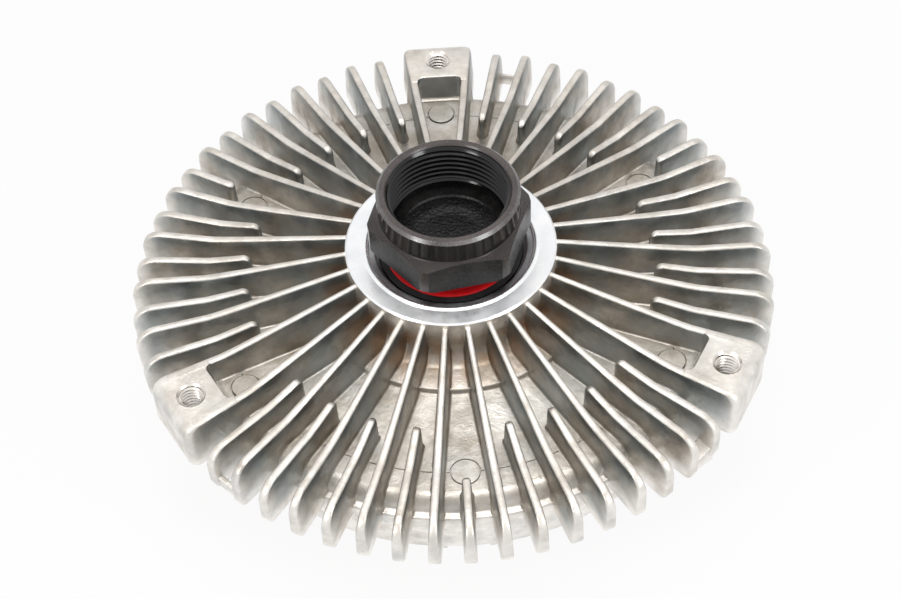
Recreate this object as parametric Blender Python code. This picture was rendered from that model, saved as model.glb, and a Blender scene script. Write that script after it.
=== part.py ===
"""Viscous fan clutch: a finned casting that carries a fan, driven through silicone fluid by a hub.

The clutch lies on the fins of its front cover with the hub's nut upwards. Its axis is Z and the
origin is on the axis, at the plane it rests on. All sizes are in metres and all angles in degrees.
"""

import math

import bmesh
import bpy
from mathutils import Matrix, Vector

# Fits and clearances
SEAT_GAP = 0.0003
RUNNING_GAP = 0.0008
CHAMBER_GAP = 0.0010

# Front cover
COVER_FIN_HEIGHT = 0.0082
COVER_FIN_TIP = 0.0016
COVER_FIN_DRAFT = 1.4
COVER_FIN_EMBED = 0.0015
COVER_FIN_COUNT = 30
COVER_FIN_START = 0.0255
COVER_FIN_INSET = 0.0018
COVER_FLOOR = 0.0034
COVER_FLANGE = 0.0048
RESERVOIR_DEPTH = 0.0050
COVER_LEDGE = 0.0015
SEAL_GROOVE_WIDTH = 0.0024
SEAL_GROOVE_DEPTH = 0.0021
SEAL_GROOVE_WALL = 0.0012
SEAL_SECTION_RADIUS = 0.0009

# Separator plate
SEPARATOR_THICKNESS = 0.0009
SEPARATOR_SHELF = 0.0030
PORT_RADIUS = 0.0030
PORT_EDGE = 0.0101
RETURN_PORT_RADIUS = 0.0016
RETURN_PORT_EDGE = 0.0050

# Valve
VALVE_SHAFT_RADIUS = 0.0040
VALVE_SHAFT_CHAMFER = 0.0003
VALVE_BOSS_WALL = 0.0050
VALVE_ARM_THICKNESS = 0.0010
VALVE_ARM_EYE = 0.0021
VALVE_ARM_NECK = 0.0004
VALVE_PAD_OVERLAP = 0.0014
VALVE_TENON = 0.0046
VALVE_RING_SECTION = 0.0007
VALVE_RING_GROOVE = 0.0015

# Bimetal coil and the post that holds its outer end
COIL_STRIP = 0.0009
COIL_WIDTH = 0.0058
COIL_FLOOR_GAP = 0.0018
COIL_FIRST_RADIUS = 0.0062
COIL_LAST_RADIUS = 0.0160
COIL_TURNS = 3.5
COIL_STEPS_PER_TURN = 14
COIL_TANG = 0.0032
COIL_TAB = 0.0045
COIL_POST_WALL = 0.0018
COIL_POST_LENGTH = 0.0042

# Rotor
ROTOR_RADIUS = 0.0560
ROTOR_WEB = 0.0040
LAND_WIDTH = 0.0013
LAND_GAP = 0.0006
LAND_HEIGHT = 0.0035
LAND_COUNT = 4
ROTOR_BOSS_WALL = 0.0038
ROTOR_BOSS_TAPER = 0.0018
ROTOR_RELIEF_DEPTH = 0.0025
ROTOR_PORT_COUNT = 6
ROTOR_PORT_RADIUS = 0.0025

# Bearing
BEARING_OUTER_RADIUS = 0.0200
BEARING_LIFT = 0.0009
BALL_SHARE = 0.59
BALL_COUNT = 8
RACE_SHARE = 0.29
RACE_GAP = 0.0002
RACE_STEPS = 3
CAGE_THICKNESS = 0.0018
CAGE_RIM = 0.0008
CAGE_ROOM = 0.0004
BEARING_SEAL_THICKNESS = 0.0008
BEARING_SEAL_DEPTH = 0.0004

# Clutch housing
PLATE_THICKNESS = 0.0050
RIM_WALL = 0.0027
RIM_LIP = 0.0012
RIM_LIP_OVERLAP = 0.0012
DRUM_FLARE = 0.0037
DRUM_LEDGE = 0.0019
SHOULDER_RADIUS = 0.0034
BOSS_WALL = 0.0043
BOSS_RIM = 0.0007
BOSS_CHAMFER = 0.0005
BOSS_FOOT_HEIGHT = 0.0056
BOSS_FOOT_SPREAD = 0.0026
BOSS_STEP_HEIGHT = 0.0015
BOSS_STEP_REACH = 0.0091
BEARING_LIP = 0.0030
STAKE_OVERLAP = 0.0009
STAKE_HEIGHT = 0.0004
STAKE_WIDTH = 0.0009

# Fins of the housing
FINS_PER_LUG = 10
FIN_REACH = 0.0103
FIN_OVERHANG = 0.0062
FIN_HEIGHT = 0.0066
FIN_RISE = 0.0056
FIN_SWEEP = 1.08
FIN_FLAT = 0.0176
FIN_TIP_THICKNESS = 0.0013
FIN_DRAFT = 2.7
FIN_CORNER = 0.0050
FIN_TOE = 0.0015
FIN_EMBED = 0.0012
FIN_CREST_STEPS = 2
SHORT_FIN_START = 0.0473
SHORT_FIN_DROP = 0.0008
SHORT_FIN_NOSE = 0.0020
STUB_FIN_INSET = 0.0054

# Fan lugs
LUG_COUNT = 3
FIRST_LUG_ANGLE = 90.0
LUG_HOLE_OFFSET = 0.0040
LUG_HOLE_RADIUS = 0.0026
LUG_SINK_RADIUS = 0.0034
LUG_SINK_DEPTH = 0.0008
LUG_RISE = 0.0001
LUG_CORNER = 0.0030
LUG_WALL_INSET = 0.0023
LUG_WALL_SLOPE = 0.0011
LUG_SKIRT = 0.0006

# Gate stubs left between pairs of fins
GATE_ANGLES = (75.0, 225.0, 315.0)
GATE_INSET = 0.0009
GATE_THICKNESS = 0.0012
GATE_HEIGHT = 0.0030
GATE_DROP = 0.0092

# Drive hub
HUB_SHOULDER = 0.0041
HUB_SHOULDER_INSET = 0.0004
SHAFT_RADIUS = 0.0085
SHAFT_CHAMFER = 0.0008
HEX_SIDES = 6
HEX_ACROSS_FLATS = 0.0338
HEX_HEIGHT = 0.0085
HEX_CORNER_TRIM = 0.0006
HEX_CHAMFER_DROP = 0.0016
HEX_FOOT_CHAMFER = 0.0005
HEX_TURN = 9.4
COLLAR_INSET = 0.0005
COLLAR_HEIGHT = 0.0060
COLLAR_CHAMFER = 0.0007
THREAD_BORE_RADIUS = 0.0133
THREAD_LENGTH = 0.0121
BORE_CHAMFER = 0.0012
BORE_RELIEF = 0.0008
BORE_DEPTH = 0.0149
BORE_DISH_RADIUS = 0.0080
BORE_DISH_DEPTH = 0.0004

# Facets round the turned pieces, with one behind each long fin of the housing
DISC_SEGMENTS = LUG_COUNT * FINS_PER_LUG
BEARING_SEGMENTS = 24
BALL_SEGMENTS = 8
BALL_RINGS = 6
CAGE_SEGMENTS_PER_BALL = 3
CAGE_WINDOW_SEGMENTS = 8
HUB_SEGMENTS = 28
SMALL_SEGMENTS = 14
ROTOR_PORT_SEGMENTS = 7
RUBBER_RING_SEGMENTS = 6

# Bearing sizes worked out from its seat and the shaft
BEARING_BORE_RADIUS = SHAFT_RADIUS + SEAT_GAP
BALL_PITCH_RADIUS = (BEARING_OUTER_RADIUS + BEARING_BORE_RADIUS) / 2
BALL_RADIUS = BALL_SHARE * (BEARING_OUTER_RADIUS - BEARING_BORE_RADIUS) / 2
INNER_LAND_RADIUS = BALL_PITCH_RADIUS - BALL_RADIUS * (1 - RACE_SHARE)
OUTER_LAND_RADIUS = BALL_PITCH_RADIUS + BALL_RADIUS * (1 - RACE_SHARE)
CAGE_HALF_HEIGHT = BALL_RADIUS + SEAT_GAP + CAGE_RIM
BEARING_WIDTH = 2 * (CAGE_HALF_HEIGHT + CAGE_ROOM + BEARING_SEAL_THICKNESS + BEARING_SEAL_DEPTH)

# Heights worked out from the sizes above, from the resting plane upwards
Z_COVER_FACE = COVER_FIN_HEIGHT
Z_RESERVOIR = Z_COVER_FACE + COVER_FLOOR
Z_SEPARATOR = Z_RESERVOIR + RESERVOIR_DEPTH + SEAT_GAP
Z_COVER_TOP = Z_SEPARATOR + SEPARATOR_THICKNESS
Z_FLANGE_FACE = Z_COVER_TOP - COVER_FLANGE
Z_ROTOR_FACE = Z_COVER_TOP + RUNNING_GAP
Z_ROTOR_WEB = Z_ROTOR_FACE + LAND_HEIGHT
Z_ROTOR_BACK = Z_ROTOR_WEB + ROTOR_WEB
Z_CEILING = Z_ROTOR_BACK + RUNNING_GAP
Z_PLATE = Z_CEILING + PLATE_THICKNESS
Z_BEARING = Z_PLATE + BEARING_LIFT
Z_BEARING_TOP = Z_BEARING + BEARING_WIDTH
Z_BOSS_TOP = Z_BEARING_TOP + BOSS_RIM
Z_HEX = Z_BEARING_TOP + HUB_SHOULDER
Z_HEX_TOP = Z_HEX + HEX_HEIGHT
Z_COLLAR_TOP = Z_HEX_TOP + COLLAR_HEIGHT
Z_FIN_BOTTOM = Z_PLATE - FIN_OVERHANG
Z_FIN_TOP = Z_PLATE + FIN_HEIGHT
Z_FIN_CREST = Z_FIN_TOP + FIN_RISE

# Radii worked out from the sizes above
LAND_PITCH = 2 * (LAND_WIDTH + LAND_GAP)
CHAMBER_RADIUS = ROTOR_RADIUS + CHAMBER_GAP
COVER_RADIUS = CHAMBER_RADIUS + COVER_LEDGE
COVER_BORE = COVER_RADIUS + SEAT_GAP
RIM_RADIUS = COVER_BORE + RIM_WALL
DRUM_RADIUS = RIM_RADIUS + DRUM_FLARE
SEPARATOR_RADIUS = ROTOR_RADIUS - (LAND_COUNT - 1) * LAND_PITCH - LAND_WIDTH - 2 * LAND_GAP
RESERVOIR_RADIUS = SEPARATOR_RADIUS - SEPARATOR_SHELF
PORT_PITCH_RADIUS = RESERVOIR_RADIUS - PORT_EDGE
BOSS_RADIUS = BEARING_OUTER_RADIUS + SEAT_GAP + BOSS_WALL
FIN_OUTER_RADIUS = DRUM_RADIUS + FIN_REACH
LUG_HOLE_PITCH = DRUM_RADIUS + LUG_HOLE_OFFSET
VALVE_BORE_RADIUS = VALVE_SHAFT_RADIUS + SEAT_GAP
FIN_PITCH = 360.0 / (LUG_COUNT * FINS_PER_LUG)
LUG_ANGLES = [FIRST_LUG_ANGLE + i * 360.0 / LUG_COUNT for i in range(LUG_COUNT)]


def clear_scene():
    """Empties the scene so that the model starts from nothing."""
    for item in list(bpy.data.objects):
        bpy.data.objects.remove(item, do_unlink=True)


def make_material(name, colour, metallic, roughness):
    """A plain Principled material."""
    material = bpy.data.materials.new(name)
    material.use_nodes = True
    shader = material.node_tree.nodes["Principled BSDF"]
    shader.inputs["Base Color"].default_value = (*colour, 1.0)
    shader.inputs["Metallic"].default_value = metallic
    shader.inputs["Roughness"].default_value = roughness
    return material


def add_object(name, bm, material=None, parent=None, smooth=True):
    """Turns a bmesh into an object with outward faces."""
    bmesh.ops.recalc_face_normals(bm, faces=bm.faces)
    mesh = bpy.data.meshes.new(name)
    bm.to_mesh(mesh)
    bm.free()
    if smooth:
        mesh.shade_smooth()
        mesh.set_sharp_from_angle(angle=math.radians(30))
    if material:
        mesh.materials.append(material)
    item = bpy.data.objects.new(name, mesh)
    bpy.context.collection.objects.link(item)
    if parent:
        item.parent = parent
        item.matrix_parent_inverse = Matrix.Translation(-parent.location)
    return item


def add_empty(name, location):
    """An empty on a joint's axis, which carries the pieces that turn together."""
    item = bpy.data.objects.new(name, None)
    item.location = location
    bpy.context.collection.objects.link(item)
    return item


def turned_mesh(profile, segments):
    """A bmesh of the solid turned from a closed outline of (radius, height) points."""
    bm = bmesh.new()
    # Half a facet's turn puts a facet's middle towards +X
    turn = math.pi / segments
    verts = [bm.verts.new((r * math.cos(turn), r * math.sin(turn), z)) for r, z in profile]
    edges = []
    for i, vert in enumerate(verts):
        following = (i + 1) % len(verts)
        if profile[i][0] > 0 or profile[following][0] > 0:
            edges.append(bm.edges.new((vert, verts[following])))
    bmesh.ops.spin(
        bm,
        geom=verts + edges,
        cent=(0, 0, 0),
        axis=(0, 0, 1),
        angle=math.tau,
        steps=segments,
        use_merge=True,
    )
    bmesh.ops.remove_doubles(bm, verts=bm.verts, dist=1e-6)
    return bm


def add_prism(bm, outline, z_low, z_high):
    """Adds an upright prism on a closed outline of (x, y) points."""
    low = [bm.verts.new((x, y, z_low)) for x, y in outline]
    high = [bm.verts.new((x, y, z_high)) for x, y in outline]
    join_loops(bm, low, high)
    bm.faces.new(low)
    bm.faces.new(high)


def prism_mesh(outline, z_low, z_high):
    """A bmesh of one upright prism."""
    bm = bmesh.new()
    add_prism(bm, outline, z_low, z_high)
    return bm


def square(half):
    """Outline of a square about the axis, from half its width."""
    return [(-half, -half), (half, -half), (half, half), (-half, half)]


def circle(radius, segments, x=0.0):
    """Outline of a round hole or disc, with a facet's middle towards +X."""
    half = 180.0 / segments
    return [(x + a, b) for a, b in arc(0, 0, radius, half, 360 - half, segments - 1)]


def join_loops(bm, first, second):
    """Quads between two closed loops of as many vertices."""
    for i in range(len(first)):
        j = (i + 1) % len(first)
        bm.faces.new((first[i], first[j], second[j], second[i]))


def place_copies(bm, angles):
    """Copies all that a bmesh holds to each angle about Z, and removes the first."""
    source = list(bm.verts) + list(bm.edges) + list(bm.faces)
    for angle in angles:
        copy = bmesh.ops.duplicate(bm, geom=source)
        verts = [part for part in copy["geom"] if isinstance(part, bmesh.types.BMVert)]
        turn = Matrix.Rotation(math.radians(angle), 4, "Z")
        bmesh.ops.transform(bm, matrix=turn, verts=verts)
    bmesh.ops.delete(bm, geom=[part for part in source if isinstance(part, bmesh.types.BMVert)])
    return bm


def combine(target, bm, operation, name):
    """Adds a Boolean modifier whose other solid is a hidden guide object."""
    guide = add_object(name, bm, smooth=False)
    guide.hide_render = True
    guide.display_type = "WIRE"
    modifier = target.modifiers.new(name, "BOOLEAN")
    modifier.operation = operation
    modifier.object = guide


def arc(centre_r, centre_z, radius, first, last, steps):
    """Points of an arc in the (radius, height) plane, both ends included."""
    points = []
    for i in range(steps + 1):
        angle = math.radians(first + (last - first) * i / steps)
        points.append((centre_r + radius * math.cos(angle), centre_z + radius * math.sin(angle)))
    return points


def housing_profile():
    """Half section of the housing: stake, boss, plate, shoulder, drum, rolled rim and chamber."""
    seat = BEARING_OUTER_RADIUS + SEAT_GAP
    stake = BEARING_OUTER_RADIUS - STAKE_OVERLAP
    stake_outer = seat + STAKE_WIDTH
    foot = BOSS_RADIUS + BOSS_FOOT_SPREAD
    step = BOSS_RADIUS + BOSS_STEP_REACH
    z_step = Z_PLATE + BOSS_STEP_HEIGHT
    shoulder = DRUM_RADIUS - DRUM_LEDGE - SHOULDER_RADIUS
    z_ledge = Z_PLATE - SHOULDER_RADIUS
    lip = COVER_RADIUS - RIM_LIP_OVERLAP
    z_lip = Z_FLANGE_FACE - SEAT_GAP
    bearing_bore = OUTER_LAND_RADIUS + SEAT_GAP
    hub_room = bearing_bore + PLATE_THICKNESS
    z_seat = Z_BEARING - SEAT_GAP
    return [
        (stake, Z_BEARING_TOP + SEAT_GAP),
        (seat, Z_BOSS_TOP + STAKE_HEIGHT),
        (stake_outer, Z_BOSS_TOP),
        (BOSS_RADIUS - BOSS_CHAMFER, Z_BOSS_TOP),
        (BOSS_RADIUS, Z_BOSS_TOP - BOSS_CHAMFER),
        (BOSS_RADIUS, z_step + BOSS_FOOT_HEIGHT),
        (foot, z_step),
        (step, z_step),
        (step, Z_PLATE),
        *arc(shoulder, z_ledge, SHOULDER_RADIUS, 90, 0, 2),
        (DRUM_RADIUS, z_ledge),
        (RIM_RADIUS, z_lip - RIM_LIP),
        (lip, z_lip - RIM_LIP),
        (lip, z_lip),
        (COVER_BORE, z_lip),
        (COVER_BORE, Z_COVER_TOP + SEAT_GAP),
        (CHAMBER_RADIUS, Z_COVER_TOP + SEAT_GAP),
        (CHAMBER_RADIUS, Z_CEILING),
        (hub_room, Z_CEILING),
        (bearing_bore, z_seat - BEARING_LIP),
        (bearing_bore, z_seat),
        (seat, z_seat),
        (seat, Z_BEARING_TOP + SEAT_GAP),
    ]


def fin_top(radius):
    """Height of a long fin's crest, which sweeps up towards the boss."""
    flat = FIN_OUTER_RADIUS - FIN_FLAT
    inward = max(0.0, (flat - radius) / (flat - BOSS_RADIUS))
    return Z_FIN_TOP + FIN_RISE * inward**FIN_SWEEP


def fin_end(z_crest):
    """Outline points of a fin's outer end, from the crest down to the toe."""
    foot = FIN_OUTER_RADIUS - FIN_TOE
    corner = arc(FIN_OUTER_RADIUS - FIN_CORNER, z_crest - FIN_CORNER, FIN_CORNER, 90, 0, 3)
    return corner + [(foot, Z_FIN_BOTTOM + FIN_TOE), (foot - FIN_TOE, Z_FIN_BOTTOM)]


def fin_root(start):
    """Outline points of a fin's buried underside, from the drum's wall back to where the fin starts."""
    wall = CHAMBER_RADIUS + FIN_EMBED
    if start > wall:
        return [(start, Z_FIN_BOTTOM)]
    z_root = Z_PLATE - FIN_EMBED
    return [(wall, Z_FIN_BOTTOM), (wall, z_root), (start, z_root)]


def long_fin_outline():
    """Side outline of a fin that runs from the boss to the tip."""
    start = BOSS_RADIUS - FIN_EMBED
    flat = FIN_OUTER_RADIUS - FIN_FLAT
    crest = []
    for i in range(FIN_CREST_STEPS + 1):
        radius = start + (flat - start) * i / FIN_CREST_STEPS
        crest.append((radius, fin_top(max(radius, BOSS_RADIUS))))
    return crest + fin_end(Z_FIN_TOP) + fin_root(start)


def short_fin_outline(start):
    """Side outline of a fin that starts out on the plate with a rounded nose."""
    drop = SHORT_FIN_DROP
    nose_z = fin_top(start + SHORT_FIN_NOSE) - drop
    nose = arc(start + SHORT_FIN_NOSE, nose_z - SHORT_FIN_NOSE, SHORT_FIN_NOSE, 180, 90, 2)
    flat = FIN_OUTER_RADIUS - FIN_FLAT
    crest = []
    if start + 2 * SHORT_FIN_NOSE < flat:
        crest.append((flat, Z_FIN_TOP - drop))
    return nose + crest + fin_end(Z_FIN_TOP - drop) + fin_root(start)


def add_fin(bm, outline, angle, tip_thickness, draft, z_tip):
    """Adds one drafted fin, thicker away from its tip, standing along a radius at an angle."""
    slope = math.tan(math.radians(draft))
    turn = math.radians(angle)
    walls = []
    for side in (1, -1):
        wall = []
        for r, z in outline:
            offset = side * (tip_thickness / 2 + abs(z_tip - z) * slope)
            x = r * math.cos(turn) - offset * math.sin(turn)
            y = r * math.sin(turn) + offset * math.cos(turn)
            wall.append(bm.verts.new((x, y, z)))
        bm.faces.new(wall)
        walls.append(wall)
    join_loops(bm, walls[0], walls[1])


def fin_mesh():
    """All the housing's fins: long ones either side of each lug and between, short ones among them."""
    bm = bmesh.new()
    shape = (FIN_TIP_THICKNESS, FIN_DRAFT, Z_FIN_CREST)
    stub_start = DRUM_RADIUS - STUB_FIN_INSET
    for lug_angle in LUG_ANGLES:
        for k in range(FINS_PER_LUG):
            add_fin(bm, long_fin_outline(), lug_angle + (k + 0.5) * FIN_PITCH, *shape)
        for k in range(1, FINS_PER_LUG):
            start = stub_start if k == FINS_PER_LUG // 2 else SHORT_FIN_START
            add_fin(bm, short_fin_outline(start), lug_angle + k * FIN_PITCH, *shape)
    return bm


def add_radial_block(bm, section, angle, half_angle):
    """Adds a block between two radii whose (radius, height) section spans an angle."""
    loops = []
    # A longer radius at the edges keeps the block's faces square to its middle line
    stretch = 1.0 / math.cos(math.radians(half_angle))
    for side in (-1, 1):
        turn = math.radians(angle + side * half_angle)
        x, y = stretch * math.cos(turn), stretch * math.sin(turn)
        loops.append([bm.verts.new((r * x, r * y, z)) for r, z in section])
    join_loops(bm, loops[0], loops[1])
    bm.faces.new(loops[0])
    bm.faces.new(loops[1])


def lug_mesh():
    """The three fan lugs, each a block between two long fins, and the gate stubs."""
    bm = bmesh.new()
    half = FIN_PITCH / 2
    wall = DRUM_RADIUS - LUG_WALL_INSET
    z_top = Z_FIN_TOP + LUG_RISE
    z_floor = Z_PLATE - LUG_RISE
    z_bottom = Z_FIN_BOTTOM + LUG_SKIRT
    foot = DRUM_RADIUS - DRUM_LEDGE - SHOULDER_RADIUS
    section = [
        (foot, z_bottom),
        (foot, z_floor),
        (wall - LUG_WALL_SLOPE, z_floor),
        (wall, z_top),
        *arc(FIN_OUTER_RADIUS - LUG_CORNER, z_top - LUG_CORNER, LUG_CORNER, 90, 0, 3),
        (FIN_OUTER_RADIUS, z_bottom),
    ]
    for lug_angle in LUG_ANGLES:
        add_radial_block(bm, section, lug_angle, half)
    gate_outer = FIN_OUTER_RADIUS - GATE_INSET
    z_gate = Z_FIN_TOP - GATE_DROP
    gate = [
        (gate_outer - GATE_THICKNESS, z_gate - GATE_HEIGHT),
        (gate_outer, z_gate - GATE_HEIGHT),
        (gate_outer, z_gate),
        (gate_outer - GATE_THICKNESS, z_gate),
    ]
    # A stub bridges the gap between a long fin and the short fin beside it
    for gate_angle in GATE_ANGLES:
        add_radial_block(bm, gate, gate_angle, FIN_PITCH / 4)
    return bm


def lug_hole_mesh():
    """Cutter for the fan screws' holes, with their countersinks."""
    z_top = Z_FIN_TOP + LUG_RISE
    z_low = Z_FIN_BOTTOM - LUG_SINK_DEPTH
    # The countersink's cone runs on as far above the lug's top as it reaches below it
    mouth = LUG_SINK_RADIUS + (LUG_SINK_RADIUS - LUG_HOLE_RADIUS)
    profile = [
        (0, z_low),
        (LUG_HOLE_RADIUS, z_low),
        (LUG_HOLE_RADIUS, z_top - LUG_SINK_DEPTH),
        (mouth, z_top + LUG_SINK_DEPTH),
        (0, z_top + LUG_SINK_DEPTH),
    ]
    bm = turned_mesh(profile, SMALL_SEGMENTS)
    bmesh.ops.translate(bm, verts=bm.verts, vec=(LUG_HOLE_PITCH, 0, 0))
    return place_copies(bm, LUG_ANGLES)


def build_housing(metal):
    """The rear casting: boss, plate, drum with its rolled rim, cooling fins and fan lugs."""
    bm = turned_mesh(housing_profile(), DISC_SEGMENTS)
    housing = add_object("clutch_housing", bm, metal)
    combine(housing, fin_mesh(), "UNION", "guide_fins")
    combine(housing, lug_mesh(), "UNION", "guide_lugs")
    combine(housing, lug_hole_mesh(), "DIFFERENCE", "guide_lug_holes")
    return housing


def rotor_land(i):
    """Inner and outer radius of a rotor land, counted inwards from the rim."""
    outer = ROTOR_RADIUS - i * LAND_PITCH
    return outer - LAND_WIDTH, outer


def cover_land(i):
    """Inner and outer radius of the cover land that runs inside rotor land i."""
    outer = rotor_land(i)[0] - LAND_GAP
    return outer - LAND_WIDTH, outer


def cover_profile():
    """Half section of the front cover, with its seal groove, lands, shelf and reservoir."""
    groove_top = Z_COVER_TOP - SEAL_GROOVE_WALL
    groove_low = groove_top - SEAL_GROOVE_WIDTH
    groove = COVER_RADIUS - SEAL_GROOVE_DEPTH
    z_land = Z_COVER_TOP + LAND_HEIGHT
    shelf = SEPARATOR_RADIUS + SEAT_GAP
    z_shelf = Z_SEPARATOR - SEAT_GAP
    boss = VALVE_BORE_RADIUS + VALVE_BOSS_WALL
    points = [
        (VALVE_BORE_RADIUS, Z_COVER_FACE),
        (RESERVOIR_RADIUS, Z_COVER_FACE),
        (RESERVOIR_RADIUS + COVER_FLOOR, Z_FLANGE_FACE),
        (COVER_RADIUS, Z_FLANGE_FACE),
        (COVER_RADIUS, groove_low),
        (groove, groove_low),
        (groove, groove_top),
        (COVER_RADIUS, groove_top),
        (COVER_RADIUS, Z_COVER_TOP),
    ]
    for i in range(LAND_COUNT - 1):
        inner, outer = cover_land(i)
        points += [(outer, Z_COVER_TOP), (outer, z_land), (inner, z_land), (inner, Z_COVER_TOP)]
    points += [
        (shelf, Z_COVER_TOP),
        (shelf, z_shelf),
        (RESERVOIR_RADIUS, z_shelf),
        (RESERVOIR_RADIUS, Z_RESERVOIR),
        (boss, Z_RESERVOIR),
        (boss, valve_boss_top()),
        (VALVE_BORE_RADIUS, valve_boss_top()),
    ]
    return points


def valve_boss_top():
    """Height of the boss inside the reservoir that the valve arm turns on."""
    return Z_SEPARATOR - VALVE_ARM_THICKNESS - 2 * SEAT_GAP


def coil_post_radius():
    """Radius at which the slotted post for the coil's outer end starts."""
    return COIL_LAST_RADIUS + COIL_STRIP + 2 * SEAT_GAP


def cover_fin_outline():
    """Side outline of a cooling fin on the cover, sunk a little into the face that it stands on."""
    outer = COVER_RADIUS - RIM_LIP_OVERLAP - COVER_FIN_INSET
    z_face = Z_COVER_FACE + COVER_FIN_EMBED
    z_flange = Z_FLANGE_FACE + COVER_FIN_EMBED
    return [
        (COVER_FIN_START, 0.0),
        (outer, 0.0),
        (outer, z_flange),
        (RESERVOIR_RADIUS + COVER_FLOOR, z_flange),
        (RESERVOIR_RADIUS, z_face),
        (COVER_FIN_START, z_face),
    ]


def cover_fin_mesh():
    """The cover's cooling fins, all round its face."""
    bm = bmesh.new()
    for i in range(COVER_FIN_COUNT):
        angle = i * 360.0 / COVER_FIN_COUNT
        add_fin(bm, cover_fin_outline(), angle, COVER_FIN_TIP, COVER_FIN_DRAFT, 0.0)
    return bm


def coil_post_mesh():
    """The two cheeks of the post on the cover's face that grip the coil's outer tab."""
    inner = coil_post_radius()
    outer = inner + COIL_POST_LENGTH
    slot = COIL_STRIP / 2 + SEAT_GAP
    z_low = COIL_FLOOR_GAP
    z_high = Z_COVER_FACE + COVER_FIN_EMBED
    bm = bmesh.new()
    for side in (-1, 1):
        y_slot, y_back = side * slot, side * (slot + COIL_POST_WALL)
        cheek = [(inner, y_slot), (outer, y_slot), (outer, y_back), (inner, y_back)]
        add_prism(bm, cheek, z_low, z_high)
    turn = Matrix.Rotation(coil_end_angle(), 4, "Z")
    bmesh.ops.transform(bm, matrix=turn, verts=bm.verts)
    return bm


def build_cover(metal):
    """The front casting, rolled into the housing's rim: reservoir, lands, fins and coil post."""
    bm = turned_mesh(cover_profile(), DISC_SEGMENTS)
    cover = add_object("front_cover", bm, metal)
    combine(cover, cover_fin_mesh(), "UNION", "guide_cover_fins")
    combine(cover, coil_post_mesh(), "UNION", "guide_coil_post")
    return cover


def ring_mesh(major, section_radius, height, segments):
    """An O-ring of a round section about Z."""
    section = arc(major, height, section_radius, 0, 360, RUBBER_RING_SEGMENTS)[:-1]
    return turned_mesh(section, segments)


def build_cover_seal(rubber):
    """The rubber ring in the cover's groove."""
    groove_middle = Z_COVER_TOP - SEAL_GROOVE_WALL - SEAL_GROOVE_WIDTH / 2
    major = COVER_RADIUS - SEAL_SECTION_RADIUS
    bm = ring_mesh(major, SEAL_SECTION_RADIUS, groove_middle, DISC_SEGMENTS)
    return add_object("cover_seal_ring", bm, rubber)


def build_rotor(metal, parent):
    """The drive disc: lands on its front, a boss for the shaft and fluid holes through its web."""
    bore = SHAFT_RADIUS + SEAT_GAP
    boss = bore + ROTOR_BOSS_WALL
    relief = rotor_land(LAND_COUNT - 1)[0] - LAND_WIDTH
    z_relief = Z_ROTOR_FACE + ROTOR_RELIEF_DEPTH
    relief_start = boss + ROTOR_BOSS_WALL
    points = [(bore, Z_ROTOR_FACE), (relief_start, Z_ROTOR_FACE), (relief_start, z_relief)]
    points += [(relief, z_relief), (relief + LAND_WIDTH / 2, Z_ROTOR_FACE)]
    for i in reversed(range(LAND_COUNT)):
        inner, outer = rotor_land(i)
        if i < LAND_COUNT - 1:
            points += [(inner, Z_ROTOR_WEB), (inner, Z_ROTOR_FACE)]
        points.append((outer, Z_ROTOR_FACE))
        if i > 0:
            points.append((outer, Z_ROTOR_WEB))
    points += [
        (ROTOR_RADIUS, Z_ROTOR_BACK),
        (relief_start, Z_ROTOR_BACK),
        (boss, Z_ROTOR_BACK + ROTOR_BOSS_WALL),
        (boss - ROTOR_BOSS_TAPER, Z_BEARING - SEAT_GAP),
        (bore, Z_BEARING - SEAT_GAP),
    ]
    bm = turned_mesh(points, DISC_SEGMENTS)
    rotor = add_object("rotor", bm, metal, parent)
    hole = circle(ROTOR_PORT_RADIUS, ROTOR_PORT_SEGMENTS, (relief_start + relief) / 2)
    cutter = prism_mesh(hole, Z_ROTOR_FACE, Z_ROTOR_BACK + RUNNING_GAP)
    place_copies(cutter, [(i + 0.5) * 360.0 / ROTOR_PORT_COUNT for i in range(ROTOR_PORT_COUNT)])
    combine(rotor, cutter, "DIFFERENCE", "guide_rotor_ports")
    return rotor


def build_separator(steel):
    """The plate between reservoir and working chamber, with its valve port and return port."""
    low, high = Z_SEPARATOR, Z_COVER_TOP
    disc = prism_mesh(circle(SEPARATOR_RADIUS, DISC_SEGMENTS), low, high)
    plate = add_object("separator_plate", disc, steel)
    over = SEPARATOR_THICKNESS
    port = prism_mesh(circle(PORT_RADIUS, SMALL_SEGMENTS, PORT_PITCH_RADIUS), low - over, high + over)
    combine(plate, port, "DIFFERENCE", "guide_port")
    return_pitch = RETURN_PORT_EDGE - SEPARATOR_RADIUS
    port = prism_mesh(circle(RETURN_PORT_RADIUS, SMALL_SEGMENTS, return_pitch), low - over, high + over)
    combine(plate, port, "DIFFERENCE", "guide_return_port")
    return plate


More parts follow.
